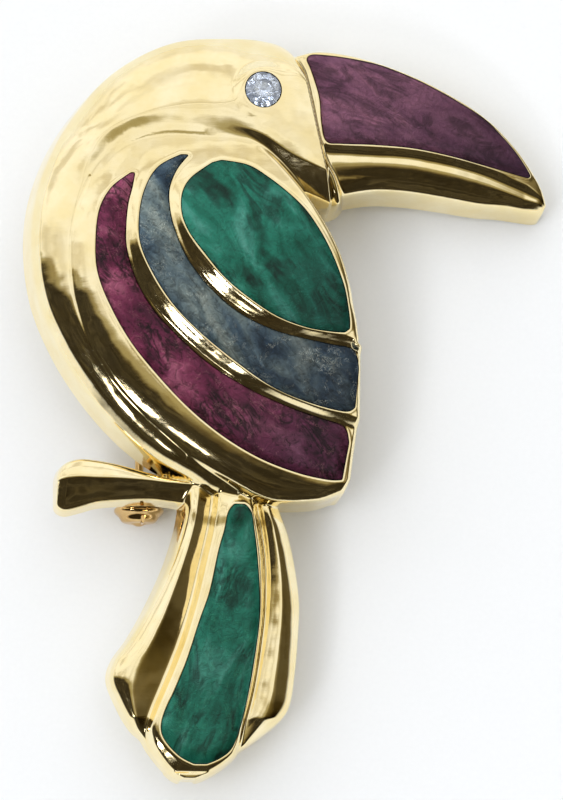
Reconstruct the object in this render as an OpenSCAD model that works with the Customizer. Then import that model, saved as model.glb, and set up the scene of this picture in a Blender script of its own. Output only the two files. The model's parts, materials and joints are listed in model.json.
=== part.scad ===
// Toucan brooch: a gilt casting with five enamel cells, a stone for the eye and a pin back.
// All lengths are millimetres. The bird is drawn on a plane of its own: u runs right from the
// neck, v runs up from the flat end of the body, and w comes out of the flat back towards the
// viewer. The finished bird is then laid on its pin back and the tip of its beak.

/* [Bird] */
// Width of the body, from the nape of the neck to the right edge of the wing
body_w = 25.2; // [23:0.2:28]
// Height of the body, from its flat lower end to the crown of the head
body_h = 36; // [33:0.5:40]
// Length of the beak, from the collar to the tip
beak_l = 19; // [16:0.5:23]
// Height of the beak at the collar
beak_h = 12.8; // [12:0.2:14]
// Width of the spread tail
tail_w = 14.4; // [13:0.2:16]
// Length of the tail below the body
tail_l = 21.4; // [18:0.2:26]
// Length of the perch that sticks out on the left
perch_l = 9.9; // [8:0.1:12]
// Height of the perch at its flared end
perch_h = 4; // [3.4:0.1:4.8]

/* [Relief] */
// Height of the side walls of the body
wall_h = 2.8; // [2.2:0.1:3.2]
// How far a side wall on the left leans out for each millimetre of its height
wall_lean = 0.17; // [0.05:0.01:0.25]
// How far a side wall on the right leans out for each millimetre of its height
far_lean = 0.03; // [0.01:0.01:0.08]
// Height of the head at its crown
head_h = 6.1; // [5.6:0.1:7]
// Height of the valley between the neck and the wing
valley_h = 3.8; // [3.4:0.1:4]
// Height of the wing's outer gold band at the middle of the wing
wing_h = 5.5; // [5.2:0.1:6.2]
// Rise from one layer of the wing to the next
layer_h = 0.65; // [0.4:0.05:0.9]
// How much lower the wing lies at the far ends of its dome
wing_droop = 1; // [0.4:0.1:1.2]
// Height of the beak at the collar, where its cell lies
beak_t = 4.7; // [4.2:0.1:5.2]
// Height of the tail's middle feather below the body
tail_t = 3.4; // [3:0.1:3.9]
// Height of the perch at its flared end
perch_t = 3; // [2.6:0.1:3.6]
// Thickness of the collar ridge between the head and the beak
collar_t = 1; // [0.7:0.1:1.3]

/* [Enamel] */
// Depth of the enamel cells below the rim
cell_depth = 0.9; // [0.7:0.05:1.1]
// Clearance round the enamel in its cell
cell_gap = 0.05; // [0.03:0.01:0.1]
// How far the edge of the enamel lies below the gold rim
enamel_recess = 0.12; // [0.05:0.01:0.25]
// How far the middle of the enamel swells above its edge
enamel_swell = 0.2; // [0.1:0.05:0.4]

/* [Eye] */
// Diameter of the round stone
stone_d = 2.75; // [2:0.05:3]
// Clearance between the stone and its seat
stone_gap = 0.05; // [0.03:0.01:0.1]
// Width of the raised boss around the stone
boss_rim = 0.75; // [0.5:0.05:0.9]
// Height of the boss above the crown of the head
boss_rise = 0.15; // [0.1:0.05:0.4]
// How far the boss widens down to the head
boss_flare = 0.55; // [0.4:0.05:0.8]

/* [Pin back] */
// Diameter of the catch barrel and of the round hinge block
catch_d = 3.9; // [3.4:0.1:4.4]
// Length of the catch barrel along the pin
catch_l = 2.8; // [2.4:0.1:3.4]
// Length of the hinge block along the pin
hinge_l = 2.4; // [2:0.1:3]
// Thickness of the two soldered foot plates
foot_t = 0.5; // [0.4:0.05:0.8]
// Width of the two foot plates
foot_w = 3; // [2.6:0.1:3.6]
// Length of the catch's foot plate, which lies on the perch
foot_l = 2.2; // [1.8:0.1:2.4]
// Clearance between the foot plates and the back of the casting
foot_gap = 0.05; // [0.02:0.01:0.1]
// Diameter of the pin stem
stem_d = 0.9; // [0.7:0.05:1.1]
// Distance between the middles of the hinge and the catch
pin_span = 25; // [22:0.5:27]
// How far the catch barrel sticks out below the perch
catch_out = 1.2; // [1:0.1:1.8]

/* [Hidden] */

// Points between two rows of a table, and steps round small balls and discs
row_steps = 3;
ball_fn = 12;
eye_fn = 32;
barrel_fn = 48;
stem_fn = 24;
// The casting's colour and the enamels'
gold = [0.93, 0.78, 0.42];
plum = [0.42, 0.14, 0.28];
slate = [0.3, 0.4, 0.48];
emerald = [0.03, 0.42, 0.27];

// Places where the other forms join the body, as percent of the body's width and height, and
// the tail's and the pin's as shares of its width
beak_root = [83.7, 63.1];
tail_root_share = 0.254;
perch_root = [47.6, -3.4];
wing_middle = [64, 46];
eye_place = [68.9, 86.3];
pin_share = 0.352;

// Each table below has a row for each section of a form. Its places are percent of the
// named size that the form follows, and its heights are percent of the form's own height.

// Body and head, from the belly round the neck to the collar:
// outer edge across and up, inner edge across and up. Then heights of the crown, the outer
// wall and the inner edge, and the share of the width where the crown starts to fall.
BODY = [
    [ 72.0,   4.8,  72.5,   9.0,  40,  66,  60,  50],
    [ 60.5,   2.9,  62.6,   7.4,  52,  80,  66,  50],
    [ 49.3,   3.0,  53.4,   7.6,  62,  88,  76,  50],
    [ 38.1,   7.5,  43.7,  10.8,  69,  96,  80,  50],
    [ 27.4,  13.6,  33.4,  17.0,  73, 100,  82,  50],
    [ 17.5,  21.4,  25.6,  24.0,  76, 100,  82,  50],
    [  8.7,  30.8,  18.2,  31.6,  78, 100,  82,  50],
    [  2.0,  41.9,  12.7,  40.8,  79, 100,  82,  50],
    [ -0.2,  55.0,  11.5,  53.4,  81, 100,  82,  50],
    [  2.4,  66.9,  15.1,  64.2,  84, 100,  82,  50],
    [ 10.3,  79.2,  23.4,  73.6,  88, 100,  82,  50],
    [ 23.8,  90.8,  35.7,  79.7,  93, 100,  82,  51],
    [ 42.1,  98.3,  49.0,  80.6,  97, 100,  84,  54],
    [ 61.9, 100.0,  57.9,  78.6, 100, 100,  90,  60],
    [ 73.0,  99.4,  67.5,  74.6, 100, 100,  86,  64],
    [ 79.8,  97.5,  77.5,  68.6,  96, 100,  84,  62],
    [ 84.0,  93.5,  88.0,  63.6,  86, 100,  82,  58]];

// Wing, a rib in each row, from the shoulder round to its right edge. Places across and up:
// left edge, outer cell's two edges, middle cell's two edges, inner cell's left edge, right
// edge. Then the share of the layer's step that the rib has, the height of its left edge, and
// the share of the walls' lean that its left end has: none where the body hides it.
WING = [
    [46.0, 81.4, 47.2, 81.1, 48.4, 81.0, 49.6, 80.8, 51.2, 80.6, 52.8, 80.3, 55.6, 79.7,   0,  78,   0],
    [31.0, 77.2, 35.3, 75.6, 36.9, 75.3, 43.7, 75.0, 46.8, 74.7, 51.6, 74.4, 64.3, 76.4,  30,  78,   0],
    [23.0, 73.6, 29.0, 70.8, 31.7, 70.8, 38.9, 70.6, 45.2, 70.6, 52.0, 70.6, 72.2, 72.2,  55,  78,   0],
    [16.7, 66.7, 23.8, 65.3, 29.4, 65.0, 32.9, 65.0, 40.7, 65.0, 44.8, 65.0, 80.6, 65.8,  80,  78,   0],
    [12.7, 59.7, 19.4, 58.6, 27.8, 58.9, 31.3, 58.9, 40.7, 59.2, 44.4, 59.2, 86.9, 59.2, 100,  78,   0],
    [11.3, 51.4, 18.7, 51.9, 27.8, 52.5, 31.7, 52.8, 43.3, 53.1, 48.0, 52.8, 92.1, 51.9, 100,  78,   0],
    [12.7, 41.4, 20.2, 43.6, 30.2, 45.6, 35.3, 46.4, 47.2, 47.5, 53.2, 47.8, 95.2, 44.7, 100,  78,   0],
    [17.5, 31.7, 25.0, 35.8, 35.3, 39.2, 40.5, 40.3, 52.8, 42.8, 59.1, 43.3, 96.4, 40.0, 100,  78,   0],
    [25.0, 23.1, 32.9, 28.1, 42.9, 33.1, 48.4, 34.4, 59.5, 38.7, 66.3, 39.6, 97.2, 37.2, 100,  78,   0],
    [35.3, 15.3, 42.1, 20.8, 51.6, 27.8, 57.1, 29.2, 67.1, 35.6, 74.2, 36.4, 97.6, 35.3, 100,  78,   0],
    [46.8,  8.9, 52.4, 14.3, 61.1, 23.3, 66.3, 24.4, 76.2, 33.3, 81.3, 34.7, 97.8, 33.9, 100,  80,   0],
    [58.7,  4.4, 63.9,  9.0, 72.2, 19.7, 76.2, 20.8, 84.1, 32.1, 87.7, 34.0, 98.0, 33.1, 100,  84,  50],
    [72.2,  1.4, 76.2,  5.3, 84.1, 16.5, 86.5, 18.2, 91.3, 31.2, 93.3, 33.6, 98.2, 32.5, 100,  84, 100],
    [85.7,  0.1, 88.1,  3.1, 92.9, 14.6, 94.0, 17.2, 95.4, 30.7, 96.2, 32.8, 98.0, 32.4, 100,  80, 100],
    [94.4,  0.0, 95.4,  3.1, 97.2, 13.9, 97.8, 16.4, 98.0, 29.7, 97.9, 31.1, 97.6, 31.9, 100,  78, 100]];

// Cells of the wing, from the tip to the right end: left edge across and up, right edge
// across and up
CELL_OUTER = [
    [29.0, 67.6, 30.2, 67.6],
    [23.4, 64.4, 29.4, 64.4],
    [19.8, 59.7, 28.2, 60.8],
    [18.7, 53.1, 27.6, 55.8],
    [19.4, 45.8, 28.0, 50.8],
    [23.8, 38.1, 31.0, 44.2],
    [30.2, 30.6, 36.5, 37.8],
    [38.9, 23.3, 45.2, 31.5],
    [48.0, 16.9, 53.8, 26.5],
    [57.9, 11.5, 65.3, 21.7],
    [68.7,  7.2, 76.6, 18.3],
    [79.8,  4.4, 86.5, 16.0],
    [88.9,  3.1, 93.8, 14.3],
    [93.3,  3.1, 95.4, 11.0]];
CELL_MIDDLE = [
    [44.0, 71.8, 46.4, 71.8],
    [37.3, 69.0, 42.9, 68.6],
    [33.3, 64.2, 40.7, 64.7],
    [31.5, 58.1, 40.5, 60.8],
    [31.9, 51.9, 41.9, 55.8],
    [35.7, 45.6, 46.0, 48.9],
    [42.1, 38.9, 53.2, 42.5],
    [50.8, 32.8, 61.9, 37.5],
    [61.5, 26.9, 71.8, 34.2],
    [71.8, 22.1, 81.3, 32.5],
    [82.9, 19.0, 88.9, 31.5],
    [93.6, 17.3, 96.2, 30.4],
    [96.8, 18.2, 98.0, 26.6]];
CELL_INNER = [
    [53.6, 70.2, 56.4, 70.8],
    [47.2, 66.7, 64.3, 69.9],
    [44.4, 63.1, 70.2, 67.5],
    [44.2, 58.6, 76.2, 64.2],
    [46.4, 54.4, 81.7, 60.3],
    [50.8, 50.0, 86.1, 55.6],
    [56.7, 45.0, 89.3, 51.1],
    [64.3, 40.6, 91.7, 46.7],
    [72.6, 36.9, 93.3, 43.1],
    [81.3, 34.7, 94.2, 39.7],
    [88.9, 33.9, 94.8, 36.4],
    [93.3, 33.8, 94.8, 34.6]];

// Beak, from the collar to the tip, as percent of its length and its height at the collar:
// top edge, lip between its halves, lower edge, each along and up. Then heights: the cell's
// rim, the top edge, the lip, the middle of the lower half, the lower edge.
BEAK = [
    [ -5, 91.5, -1.0, 31.0, -3.0,  5.0, 100, 62, 76, 83, 56],
    [  5, 94.8, 10.0, 30.6,  8.0,  6.0, 100, 62, 76, 83, 56],
    [ 22, 91.8, 27.0, 30.2, 27.0, 12.6,  99, 61, 75, 83, 56],
    [ 43, 82.3, 43.0, 29.6, 43.0, 12.4,  96, 60, 73, 82, 55],
    [ 63, 68.6, 60.0, 25.4, 60.0,  9.0,  91, 58, 70, 79, 54],
    [ 77, 55.0, 73.0, 20.6, 72.0,  5.9,  86, 56, 67, 76, 52],
    [ 87, 40.4, 84.0, 15.8, 83.0,  3.5,  80, 54, 64, 72, 50],
    [ 94, 26.8, 92.2, 11.5, 91.5,  1.9,  74, 51, 60, 67, 48],
    [ 98.6, 15.2, 97.4, 8.6, 96.8, 1.0,  68, 48, 56, 61, 45],
    [101,  6.0, 100.4, 4.5, 99.8,  1.6,  56, 44, 50, 52, 42]];

// Cell of the beak: top edge along and up, lower edge along and up
CELL_BEAK = [
    [-0.4, 89.4, -0.8, 87.4],
    [ 1.8, 91.0,  1.3, 80.2],
    [ 9.5, 90.6,  4.4, 64.6],
    [18.0, 89.3,  5.3, 48.5],
    [26.7, 87.2,  7.2, 37.6],
    [33.0, 84.7, 13.0, 36.5],
    [41.0, 80.5, 27.0, 36.6],
    [49.9, 75.0, 43.0, 35.6],
    [61.6, 66.4, 58.0, 32.3],
    [73.3, 56.0, 71.0, 28.1],
    [80.5, 46.2, 79.5, 25.3],
    [86.5, 36.6, 86.0, 23.1],
    [91.0, 27.4, 90.4, 21.8],
    [92.8, 22.8, 92.2, 21.5]];

// Tail, from under the body to its tips, as percent of its width and length: left edge, left
// valley, right valley, right edge, each across and up. Then heights: middle feather, side
// feathers. The last rows are the round end of the middle feather alone.
TAIL = [
    [40.0, 112, 55.0, 112, 73.0, 112, 84.0, 112,  66, 60],
    [38.4,  99, 52.4,  97, 75.6,  96, 88.6,  97, 100, 92],
    [36.0,  89, 50.0,  88, 77.8,  88, 93.6,  88,  98, 90],
    [30.0,  76, 45.0,  77, 80.0,  76, 97.8,  75,  95, 87],
    [20.0,  61, 38.8,  62, 80.0,  60, 100.0, 63,  91, 84],
    [11.0,  50, 32.5,  48, 78.2,  48, 99.5,  51,  87, 80],
    [ 2.8,  42, 27.0,  39, 75.8,  37, 98.0,  39,  83, 76],
    [ 0.2,  35, 23.5,  31, 73.5,  29, 95.2,  27,  79, 72],
    [ 4.5,  27, 20.5,  25, 70.5,  21, 89.0,  20.5, 76, 66],
    [12.0,  18, 18.2,  19, 68.4,  14, 76.0,  13.5, 74, 58],
    [17.2, 14.6, 19.0, 15.2, 67.0, 11, 69.0,  10.4, 73, 50],
    [20.6, 10.8, 21.6, 11.4, 65.0, 8.4, 66.2,  8.0, 72, 50],
    [27.0,  5.2, 27.8, 5.9, 58.0,  4.6, 58.8,  4.0, 69, 47],
    [33.2,  1.2, 33.9, 1.9, 49.6,  1.5, 50.2,  0.8, 66, 44],
    [37.6, -0.2, 38.0, 0.3, 44.8,  0.2, 45.2, -0.3, 64, 42]];
CELL_TAIL = [
    [63.6, 97.0, 69.2, 97.0],
    [60.4, 94.0, 72.4, 94.2],
    [58.6, 88.0, 73.8, 89.0],
    [55.4, 80.0, 75.6, 80.0],
    [51.0, 66.0, 77.1, 66.0],
    [45.5, 55.0, 77.0, 55.0],
    [39.5, 42.0, 74.6, 43.0],
    [33.0, 31.0, 72.0, 32.0],
    [28.0, 23.6, 69.7, 24.0],
    [26.4, 18.0, 66.8, 17.0],
    [29.0, 13.5, 63.0, 11.2],
    [36.0,  8.6, 57.4,  8.0],
    [43.6,  5.9, 50.4,  5.9]];

// Perch, from the body to the flared end: top edge along and up, lower edge, height
PERCH = [
    [106, 58, 106, 22, 88],
    [ 86, 68,  86, 29, 84],
    [ 72, 77,  72, 32, 84],
    [ 48, 92,  50, 26, 88],
    [ 30, 99,  32, 17, 93],
    [ 18, 100, 20,  8, 97],
    [  8, 92,   8,  1, 98],
    [  2, 77,   1, 10, 92],
    [  0, 60,   0, 28, 84]];

// Ridge of the collar, from the crown down to the throat, as percent of the body's sizes and
// of the head's height
COLLAR = [
    [82.4, 95.6, 54],
    [84.4, 91.7, 72],
    [85.2, 86.1, 80],
    [86.1, 80.3, 80],
    [87.5, 75.3, 75],
    [89.7, 70.8, 69],
    [92.5, 66.4, 60],
    [92.6, 64.6, 54]];

// A point of the plane from percent of a width and a height, and a corner that it is set from
function at(share, size, corner = [0, 0]) =
    [corner[0] + share[0] * size[0] / 100, corner[1] + share[1] * size[1] / 100];

body_size = [body_w, body_h];
beak_size = [beak_l, beak_h];
tail_size = [tail_w, tail_l];
perch_size = [perch_l, perch_h];
beak_corner = at(beak_root, body_size);
tail_corner = [tail_root_share * body_w, -tail_l];
perch_corner = at(perch_root, body_size) - [perch_l, 0];
wing_centre = at(wing_middle, body_size);
eye = at(eye_place, body_size);

// A smooth curve through the rows of a table, all columns at once
function blend(a, b, c, d, t) =
    (2 * b + (c - a) * t + (2 * a - 5 * b + 4 * c - d) * t * t
     + (3 * b - a - 3 * c + d) * t * t * t) / 2;
function smooth(rows) =
    let (last = len(rows) - 1)
    [for (i = [0 : last - 1])
        for (k = [0 : row_steps - 1])
            blend(rows[max(i - 1, 0)], rows[i], rows[i + 1], rows[min(i + 2, last)],
                  k / row_steps),
     rows[last]];

// A point on the line from left to right: a share of its length, and a distance more
function across(left, right, share, inset = 0) =
    left + (right - left) * (share + inset / norm(right - left));
function raised(point, w) = [point[0], point[1], w];

// How much lower the wing's dome lies at a point
droop_reach = 0.43;
function droop(point) =
    wing_droop * pow(norm(point - wing_centre) / (body_h * droop_reach), 2);

// A point of a row: the pair of columns that it is in, placed on the plane
function spot(row, pair, size, corner = [0, 0]) =
    at([row[2 * pair], row[2 * pair + 1]], size, corner);

// Points from a to b, not counting the ends: each item of the list is [share of the way, height]
function between(a, b, list) = [for (item = list) raised(across(a, b, item[0]), item[1])];

// Round shoulders: shares of the way and of the rise, for the rising and the falling side
ROUND = [for (angle = [25, 55]) [1 - cos(angle), sin(angle)]];
function rise(a, b, low, high, part = 1) =
    between(a, b, [for (r = ROUND) [part * r[0], low + (high - low) * r[1]]]);
function fall(a, b, high, low, part = 1) =
    between(a, b, [for (k = [1, 0]) [1 - part * ROUND[k][0], low + (high - low) * ROUND[k][1]]]);

// How far a wall that faces away from a point leans out: least towards the right and a little up
STEEP_WAY = [cos(20), sin(20)];
function lean(edge, inner) =
    let (facing = (edge - inner) * STEEP_WAY / norm(edge - inner))
    (wall_lean + far_lean - (wall_lean - far_lean) * facing) / 2;

// A section through a form: its top from left to right, with a wall down to the back at each
// end. Each wall takes a share of its lean.
function walled(top, shares = [1, 1]) =
    let (last = len(top) - 1)
    concat([foot(top[0], top[1], shares[0])], top, [foot(top[last], top[last - 1], shares[1])]);
function foot(top, next, share) =
    let (edge = [top[0], top[1]], inner = [next[0], next[1]])
    raised(across(edge, inner, 0, -share * lean(edge, inner) * top[2]), 0);

// The solid through a row of sections
module loft(sections) {
    n = len(sections[0]);
    m = len(sections);
    first = sections[0];
    second = sections[1];
    width = first[n - 1] - first[0];
    step = second[0] + second[n - 1] - first[0] - first[n - 1];
    turned = width[0] * step[1] - width[1] * step[0] < 0;
    sides = [for (i = [0 : m - 2])
        for (j = [0 : n - 1])
            let (a = i * n + j, b = i * n + (j + 1) % n)
            each [[a, b, b + n], [a, b + n, a + n]]];
    caps = [[for (j = [0 : n - 1]) n - 1 - j], [for (j = [0 : n - 1]) (m - 1) * n + j]];
    faces = concat(sides, caps);
    polyhedron([for (s = sections) each s],
               turned ? faces : [for (f = faces) [for (k = [0 : len(f) - 1]) f[len(f) - 1 - k]]]);
}

// Body and head: a round ridge whose inner side runs on under the wing
crown_share = 0.42;
tuck = 0.45;
function body_section(row) =
    let (left = spot(row, 0, body_size), right = spot(row, 1, body_size),
         crown = row[4] * head_h / 100, wall = row[5] * wall_h / 100,
         low = row[6] * valley_h / 100, middle = across(left, right, crown_share),
         shoulder = across(left, right, row[7] / 100), end = across(right, left, 0, -tuck))
    walled(concat(
        [raised(left, wall)], rise(left, middle, wall, crown), [raised(middle, crown),
        raised(shoulder, crown)], fall(shoulder, end, crown, low), [raised(end, low)]),
        [1, 0]);

// The wing: a convex outer band, then three layers with a slope up from one to the next
LAYER_OF = [0, 0, 0, 1, 1, 2, 2];
rim_w = 0.35;
rim_share = 1 / 3;
slope_share = 0.125;
edge_round = 0.5;
edge_base_share = 0.02;
band_share = 0.55;
band_swell = 0.1;
function crest(foot_point, cell_edge) =
    across(cell_edge, foot_point, 0, min(rim_w, norm(cell_edge - foot_point) * rim_share));
function slope(foot_point, cell_edge, low, high) =
    let (start = across(foot_point, cell_edge, slope_share), top = crest(foot_point, cell_edge))
    concat([raised(start, low)], rise(start, top, low, high), [raised(top, high)]);
function wing_section(row, lift = 1) =
    let (p = [for (k = [0 : 6]) spot(row, k, body_size)],
         step = row[14] * layer_h / 100, low = row[15] * valley_h / 100,
         top = [for (k = [0 : 6]) wing_h - droop(p[k]) + step * LAYER_OF[k]],
         crown = across(p[0], p[1], band_share), corner = across(p[6], p[5], 0, edge_round))
    walled([for (q = concat(
        [raised(p[0], low)], rise(p[0], crown, low, top[1] + band_swell),
        [raised(crown, top[1] + band_swell), raised((p[1] + p[2]) / 2, top[1])],
        slope(p[2], p[3], top[2], top[3]), [raised((p[3] + p[4]) / 2, top[3])],
        slope(p[4], p[5], top[4], top[5]), [raised((p[5] + p[6]) / 2, top[6])],
        [raised(corner, top[6])], fall(corner, p[6], top[6], top[6] - edge_round),
        [raised(p[6], top[6] - edge_round)])) [q[0], q[1], q[2] * lift]],
        [row[16] / 100, 1]);

// The wing's right edge: its last rib, moved out as far as the wall leans
function moved(row, across_mm) =
    [for (k = [0 : len(row) - 1]) k < 14 && k % 2 == 0 ? row[k] + across_mm / body_w * 100 : row[k]];
wing_end = WING[len(WING) - 1];
WING_SECTIONS = concat(
    [for (row = smooth(WING)) wing_section(row)],
    [wing_section(moved(wing_end, edge_round * ROUND[1][0]), 1 - edge_round / wing_h),
     wing_section(moved(wing_end, far_lean * wing_h + edge_round * ROUND[1][0]), edge_base_share)]);

// The beak: the flat rim of its cell, a hollow slope down to the lip, and a round lower half
lip_w = 0.5;
rim_round = 0.3;
lip_step = 0.12;
step_share = 0.1;
hollow_share = 0.4;
hollow_rise_share = 0.3;
function beak_section(row) =
    let (edge = spot(row, 0, beak_size, beak_corner), lip = spot(row, 1, beak_size, beak_corner),
         under = spot(row, 2, beak_size, beak_corner), h = [for (k = [6 : 10]) row[k] * beak_t / 100],
         reach = min(lip_w, norm(lip - edge) / 2), shelf = across(edge, lip, 0, rim_round),
         rim = across(lip, edge, 0, reach), middle = across(lip, under, 0.5))
    walled(concat(
        [raised(edge, h[1])], rise(edge, shelf, h[1], h[0]), [raised(shelf, h[0]), raised(rim, h[0])],
        [raised(across(rim, lip, hollow_share), h[2] + (h[0] - h[2]) * hollow_rise_share)],
        [raised(lip, h[2]), raised(across(lip, under, 0, reach * step_share), h[2] - lip_step)],
        rise(lip, middle, h[2], h[3]), [raised(middle, h[3])], fall(middle, under, h[3], h[4]),
        [raised(under, h[4])]));

// The tail: a round rib on each side of a wide feather with a flat top
wall_share = 0.62;
valley_share = 0.68;
middle_round = 0.5;
function tail_section(row) =
    let (p = [for (k = [0 : 3]) spot(row, k, tail_size, tail_corner)],
         top = row[8] * tail_t / 100, side = row[9] * tail_t / 100, low = side * wall_share,
         valley = min(side, top * valley_share), reach = min(middle_round, norm(p[2] - p[1]) * rim_share),
         a = across(p[0], p[1], 0.5), b = across(p[1], p[2], 0, reach),
         c = across(p[2], p[1], 0, reach), d = across(p[2], p[3], 0.5))
    walled(concat(
        [raised(p[0], low)], rise(p[0], a, low, side), [raised(a, side)],
        fall(a, p[1], side, valley), [raised(p[1], valley)],
        rise(p[1], b, valley, top), [raised(b, top), raised(c, top)],
        fall(c, p[2], top, valley), [raised(p[2], valley)],
        rise(p[2], d, valley, side), [raised(d, side)],
        fall(d, p[3], side, low), [raised(p[3], low)]));

// The perch
perch_wall_share = 0.55;
function perch_section(row) =
    let (left = spot(row, 0, perch_size, perch_corner), right = spot(row, 1, perch_size, perch_corner),
         top = row[4] * perch_t / 100, low = top * perch_wall_share, middle = across(left, right, 0.5))
    walled(concat(
        [raised(left, low)], rise(left, middle, low, top), [raised(middle, top)],
        fall(middle, right, top, low), [raised(right, low)]));

// The outline of a cell, from the two edges of its table
function outline(rows, size, corner = [0, 0]) =
    let (fine = smooth(rows), last = len(fine) - 1)
    concat([for (row = fine) spot(row, 0, size, corner)],
           [for (i = [0 : last]) spot(fine[last - i], 1, size, corner)]);

// Floors of the cells
layer_top = [for (k = [0 : 2]) wing_h + k * layer_h];
wing_floor = [for (top = layer_top) top - wing_droop - cell_depth];
beak_floor = beak_t * BEAK[6][6] / 100 - cell_depth;
tail_floor = tail_t * TAIL[12][8] / 100 - cell_depth;

module pocket(points, floor_h) {
    translate([0, 0, floor_h])
        linear_extrude(head_h)
            offset(delta = cell_gap) polygon(points);
}

// The enamel in a cell: its top follows the rim at each point of its edge and swells between
SWELL_AT = [0.2, 0.5, 0.8];
swell_slope = 6;
module enamel(rows, size, corner, floor_h, rim_at) {
    low = floor_h + cell_gap;
    loft([for (row = smooth(rows))
        let (left = spot(row, 0, size, corner), right = spot(row, 1, size, corner),
             a = rim_at(left) - enamel_recess, b = rim_at(right) - enamel_recess,
             swell = min(enamel_swell, norm(right - left) / swell_slope))
        [raised(left, low), raised(left, a),
         for (share = SWELL_AT)
             let (p = across(left, right, share))
             raised(p, rim_at(p) - enamel_recess + swell * sin(180 * share)),
         raised(right, b), raised(right, low)]]);
}

// Height of the beak's and the tail's rims at a point, from their tables
function along(rows, place, column, share) =
    lookup(share, [for (row = rows) [row[place], row[column]]]);
function beak_rim(p) =
    beak_t / 100 * along(BEAK, 2, 6, (p[0] - beak_corner[0]) / beak_l * 100);
function tail_rim(p) =
    tail_t / 100 * along(TAIL, 3, 8, (p[1] - tail_corner[1]) / tail_l * 100);

// The eye's stone: a round brilliant, cut by eights
girdle_h = head_h;
crown_t = 0.16 * stone_d;
pavilion_t = 0.43 * stone_d;
girdle_t = 0.03 * stone_d;
table_d = 0.56 * stone_d;
star_d = 0.78 * stone_d;
star_share = 0.55;
lower_share = 0.25;
function ring(diameter, h, count, turn = 0) =
    [for (i = [0 : count - 1])
        let (angle = 360 * (i + turn) / count)
        [diameter / 2 * cos(angle), diameter / 2 * sin(angle), h]];
// Sides of the table, corners of the girdle, and the first point of each ring below the table
SIDES = 8;
CORNERS = 2 * SIDES;
STAR = SIDES;
GIRDLE = STAR + SIDES;
UNDER = GIRDLE + CORNERS;
LOWER = UNDER + CORNERS;
CULET = LOWER + SIDES;
STONE_POINTS = concat(
    ring(table_d, crown_t, SIDES),
    ring(star_d, crown_t * star_share, SIDES, 0.5),
    ring(stone_d, 0, CORNERS),
    ring(stone_d, -girdle_t, CORNERS),
    ring(stone_d * lower_share, -girdle_t - pavilion_t * (1 - lower_share), SIDES, 0.5),
    [[0, 0, -girdle_t - pavilion_t]]);
// The facets that repeat with each side: i is the side, j the next one, and g, f and e are the
// corner of the girdle at the side, the one after it and the next side's
STONE_FACES = concat(
    [[for (i = [0 : SIDES - 1]) SIDES - 1 - i]],
    [for (i = [0 : SIDES - 1])
        let (j = (i + 1) % SIDES, g = 2 * i, f = g + 1, e = (g + 2) % CORNERS)
        each [[i, j, STAR + i],
              [i, STAR + i, GIRDLE + g],
              [j, GIRDLE + e, STAR + i],
              [STAR + i, GIRDLE + f, GIRDLE + g],
              [STAR + i, GIRDLE + e, GIRDLE + f],
              [GIRDLE + g, GIRDLE + f, UNDER + f, UNDER + g],
              [GIRDLE + f, GIRDLE + e, UNDER + e, UNDER + f],
              [UNDER + g, UNDER + f, LOWER + i],
              [UNDER + f, UNDER + e, LOWER + i],
              [UNDER + e, LOWER + j, LOWER + i],
              [LOWER + i, LOWER + j, CULET]]]);

seat_d = stone_d + 2 * stone_gap;
boss_d = seat_d + 2 * boss_rim;

boss_foot = 1.3;
module eye_boss() {
    translate([eye[0], eye[1], head_h - boss_foot]) {
        cylinder(h = boss_foot + boss_rise - boss_flare / 2, d1 = boss_d + 2 * boss_flare, d2 = boss_d, $fn = eye_fn);
        cylinder(h = boss_foot + boss_rise, d = boss_d - boss_flare, $fn = eye_fn);
    }
}

module eye_seat() {
    translate([eye[0], eye[1], girdle_h - girdle_t - stone_gap])
        cylinder(h = head_h, d = seat_d, $fn = eye_fn);
    translate([eye[0], eye[1], girdle_h - girdle_t - pavilion_t - 2 * stone_gap])
        cylinder(h = pavilion_t + stone_gap, d1 = stone_gap, d2 = seat_d, $fn = eye_fn);
}

module collar() {
    for (i = [0 : len(COLLAR) - 2])
        hull()
            for (row = [COLLAR[i], COLLAR[i + 1]])
                translate(raised(at([row[0], row[1]], body_size), row[2] * head_h / 100))
                    sphere(d = collar_t, $fn = ball_fn);
}

// The round throat between the collar and the wing
throat_d = 2.4;
throat_h = 3.9;
THROAT = [[85.3, 68.1], [91.0, 66.4]];
module throat() {
    hull()
        for (place = THROAT)
            translate(raised(at(place, body_size), throat_h - throat_d / 2)) {
                sphere(d = throat_d, $fn = eye_fn / 2);
                translate([0, 0, -throat_h + throat_d / 2])
                    cylinder(h = throat_h - throat_d / 2, d = throat_d, $fn = eye_fn / 2);
            }
}

// The small knot that ties the perch to the body
knot_size = [1.1, 1.8];
knot_place = [47.8, -1.6];
knot_h = 0.8 * perch_t;
module knot() {
    hull()
        for (side = [-1, 1])
            translate(raised(at(knot_place, body_size) + [0, side * knot_size[1] / 2], knot_h))
                sphere(d = knot_size[0], $fn = ball_fn);
}

// The pin back's places on the plane
pin_u = pin_share * body_w;
barrel_w = -foot_gap - foot_t - catch_d / 2;
perch_edge = perch_corner[1] + perch_h * PERCH[4][3] / 100;
catch_v = perch_edge - catch_out + catch_l / 2;
hinge_v = catch_v + pin_span;

// The bird lies on its catch, its hinge and the tip of its beak, so it tilts about the v axis
tip_u = max([for (row = smooth(BEAK)) for (p = beak_section(row)) p[0]]);
rest_run = norm([tip_u - pin_u, barrel_w]);
rest_tilt = atan(-barrel_w / (tip_u - pin_u)) + asin(catch_d / 2 / rest_run);

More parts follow.
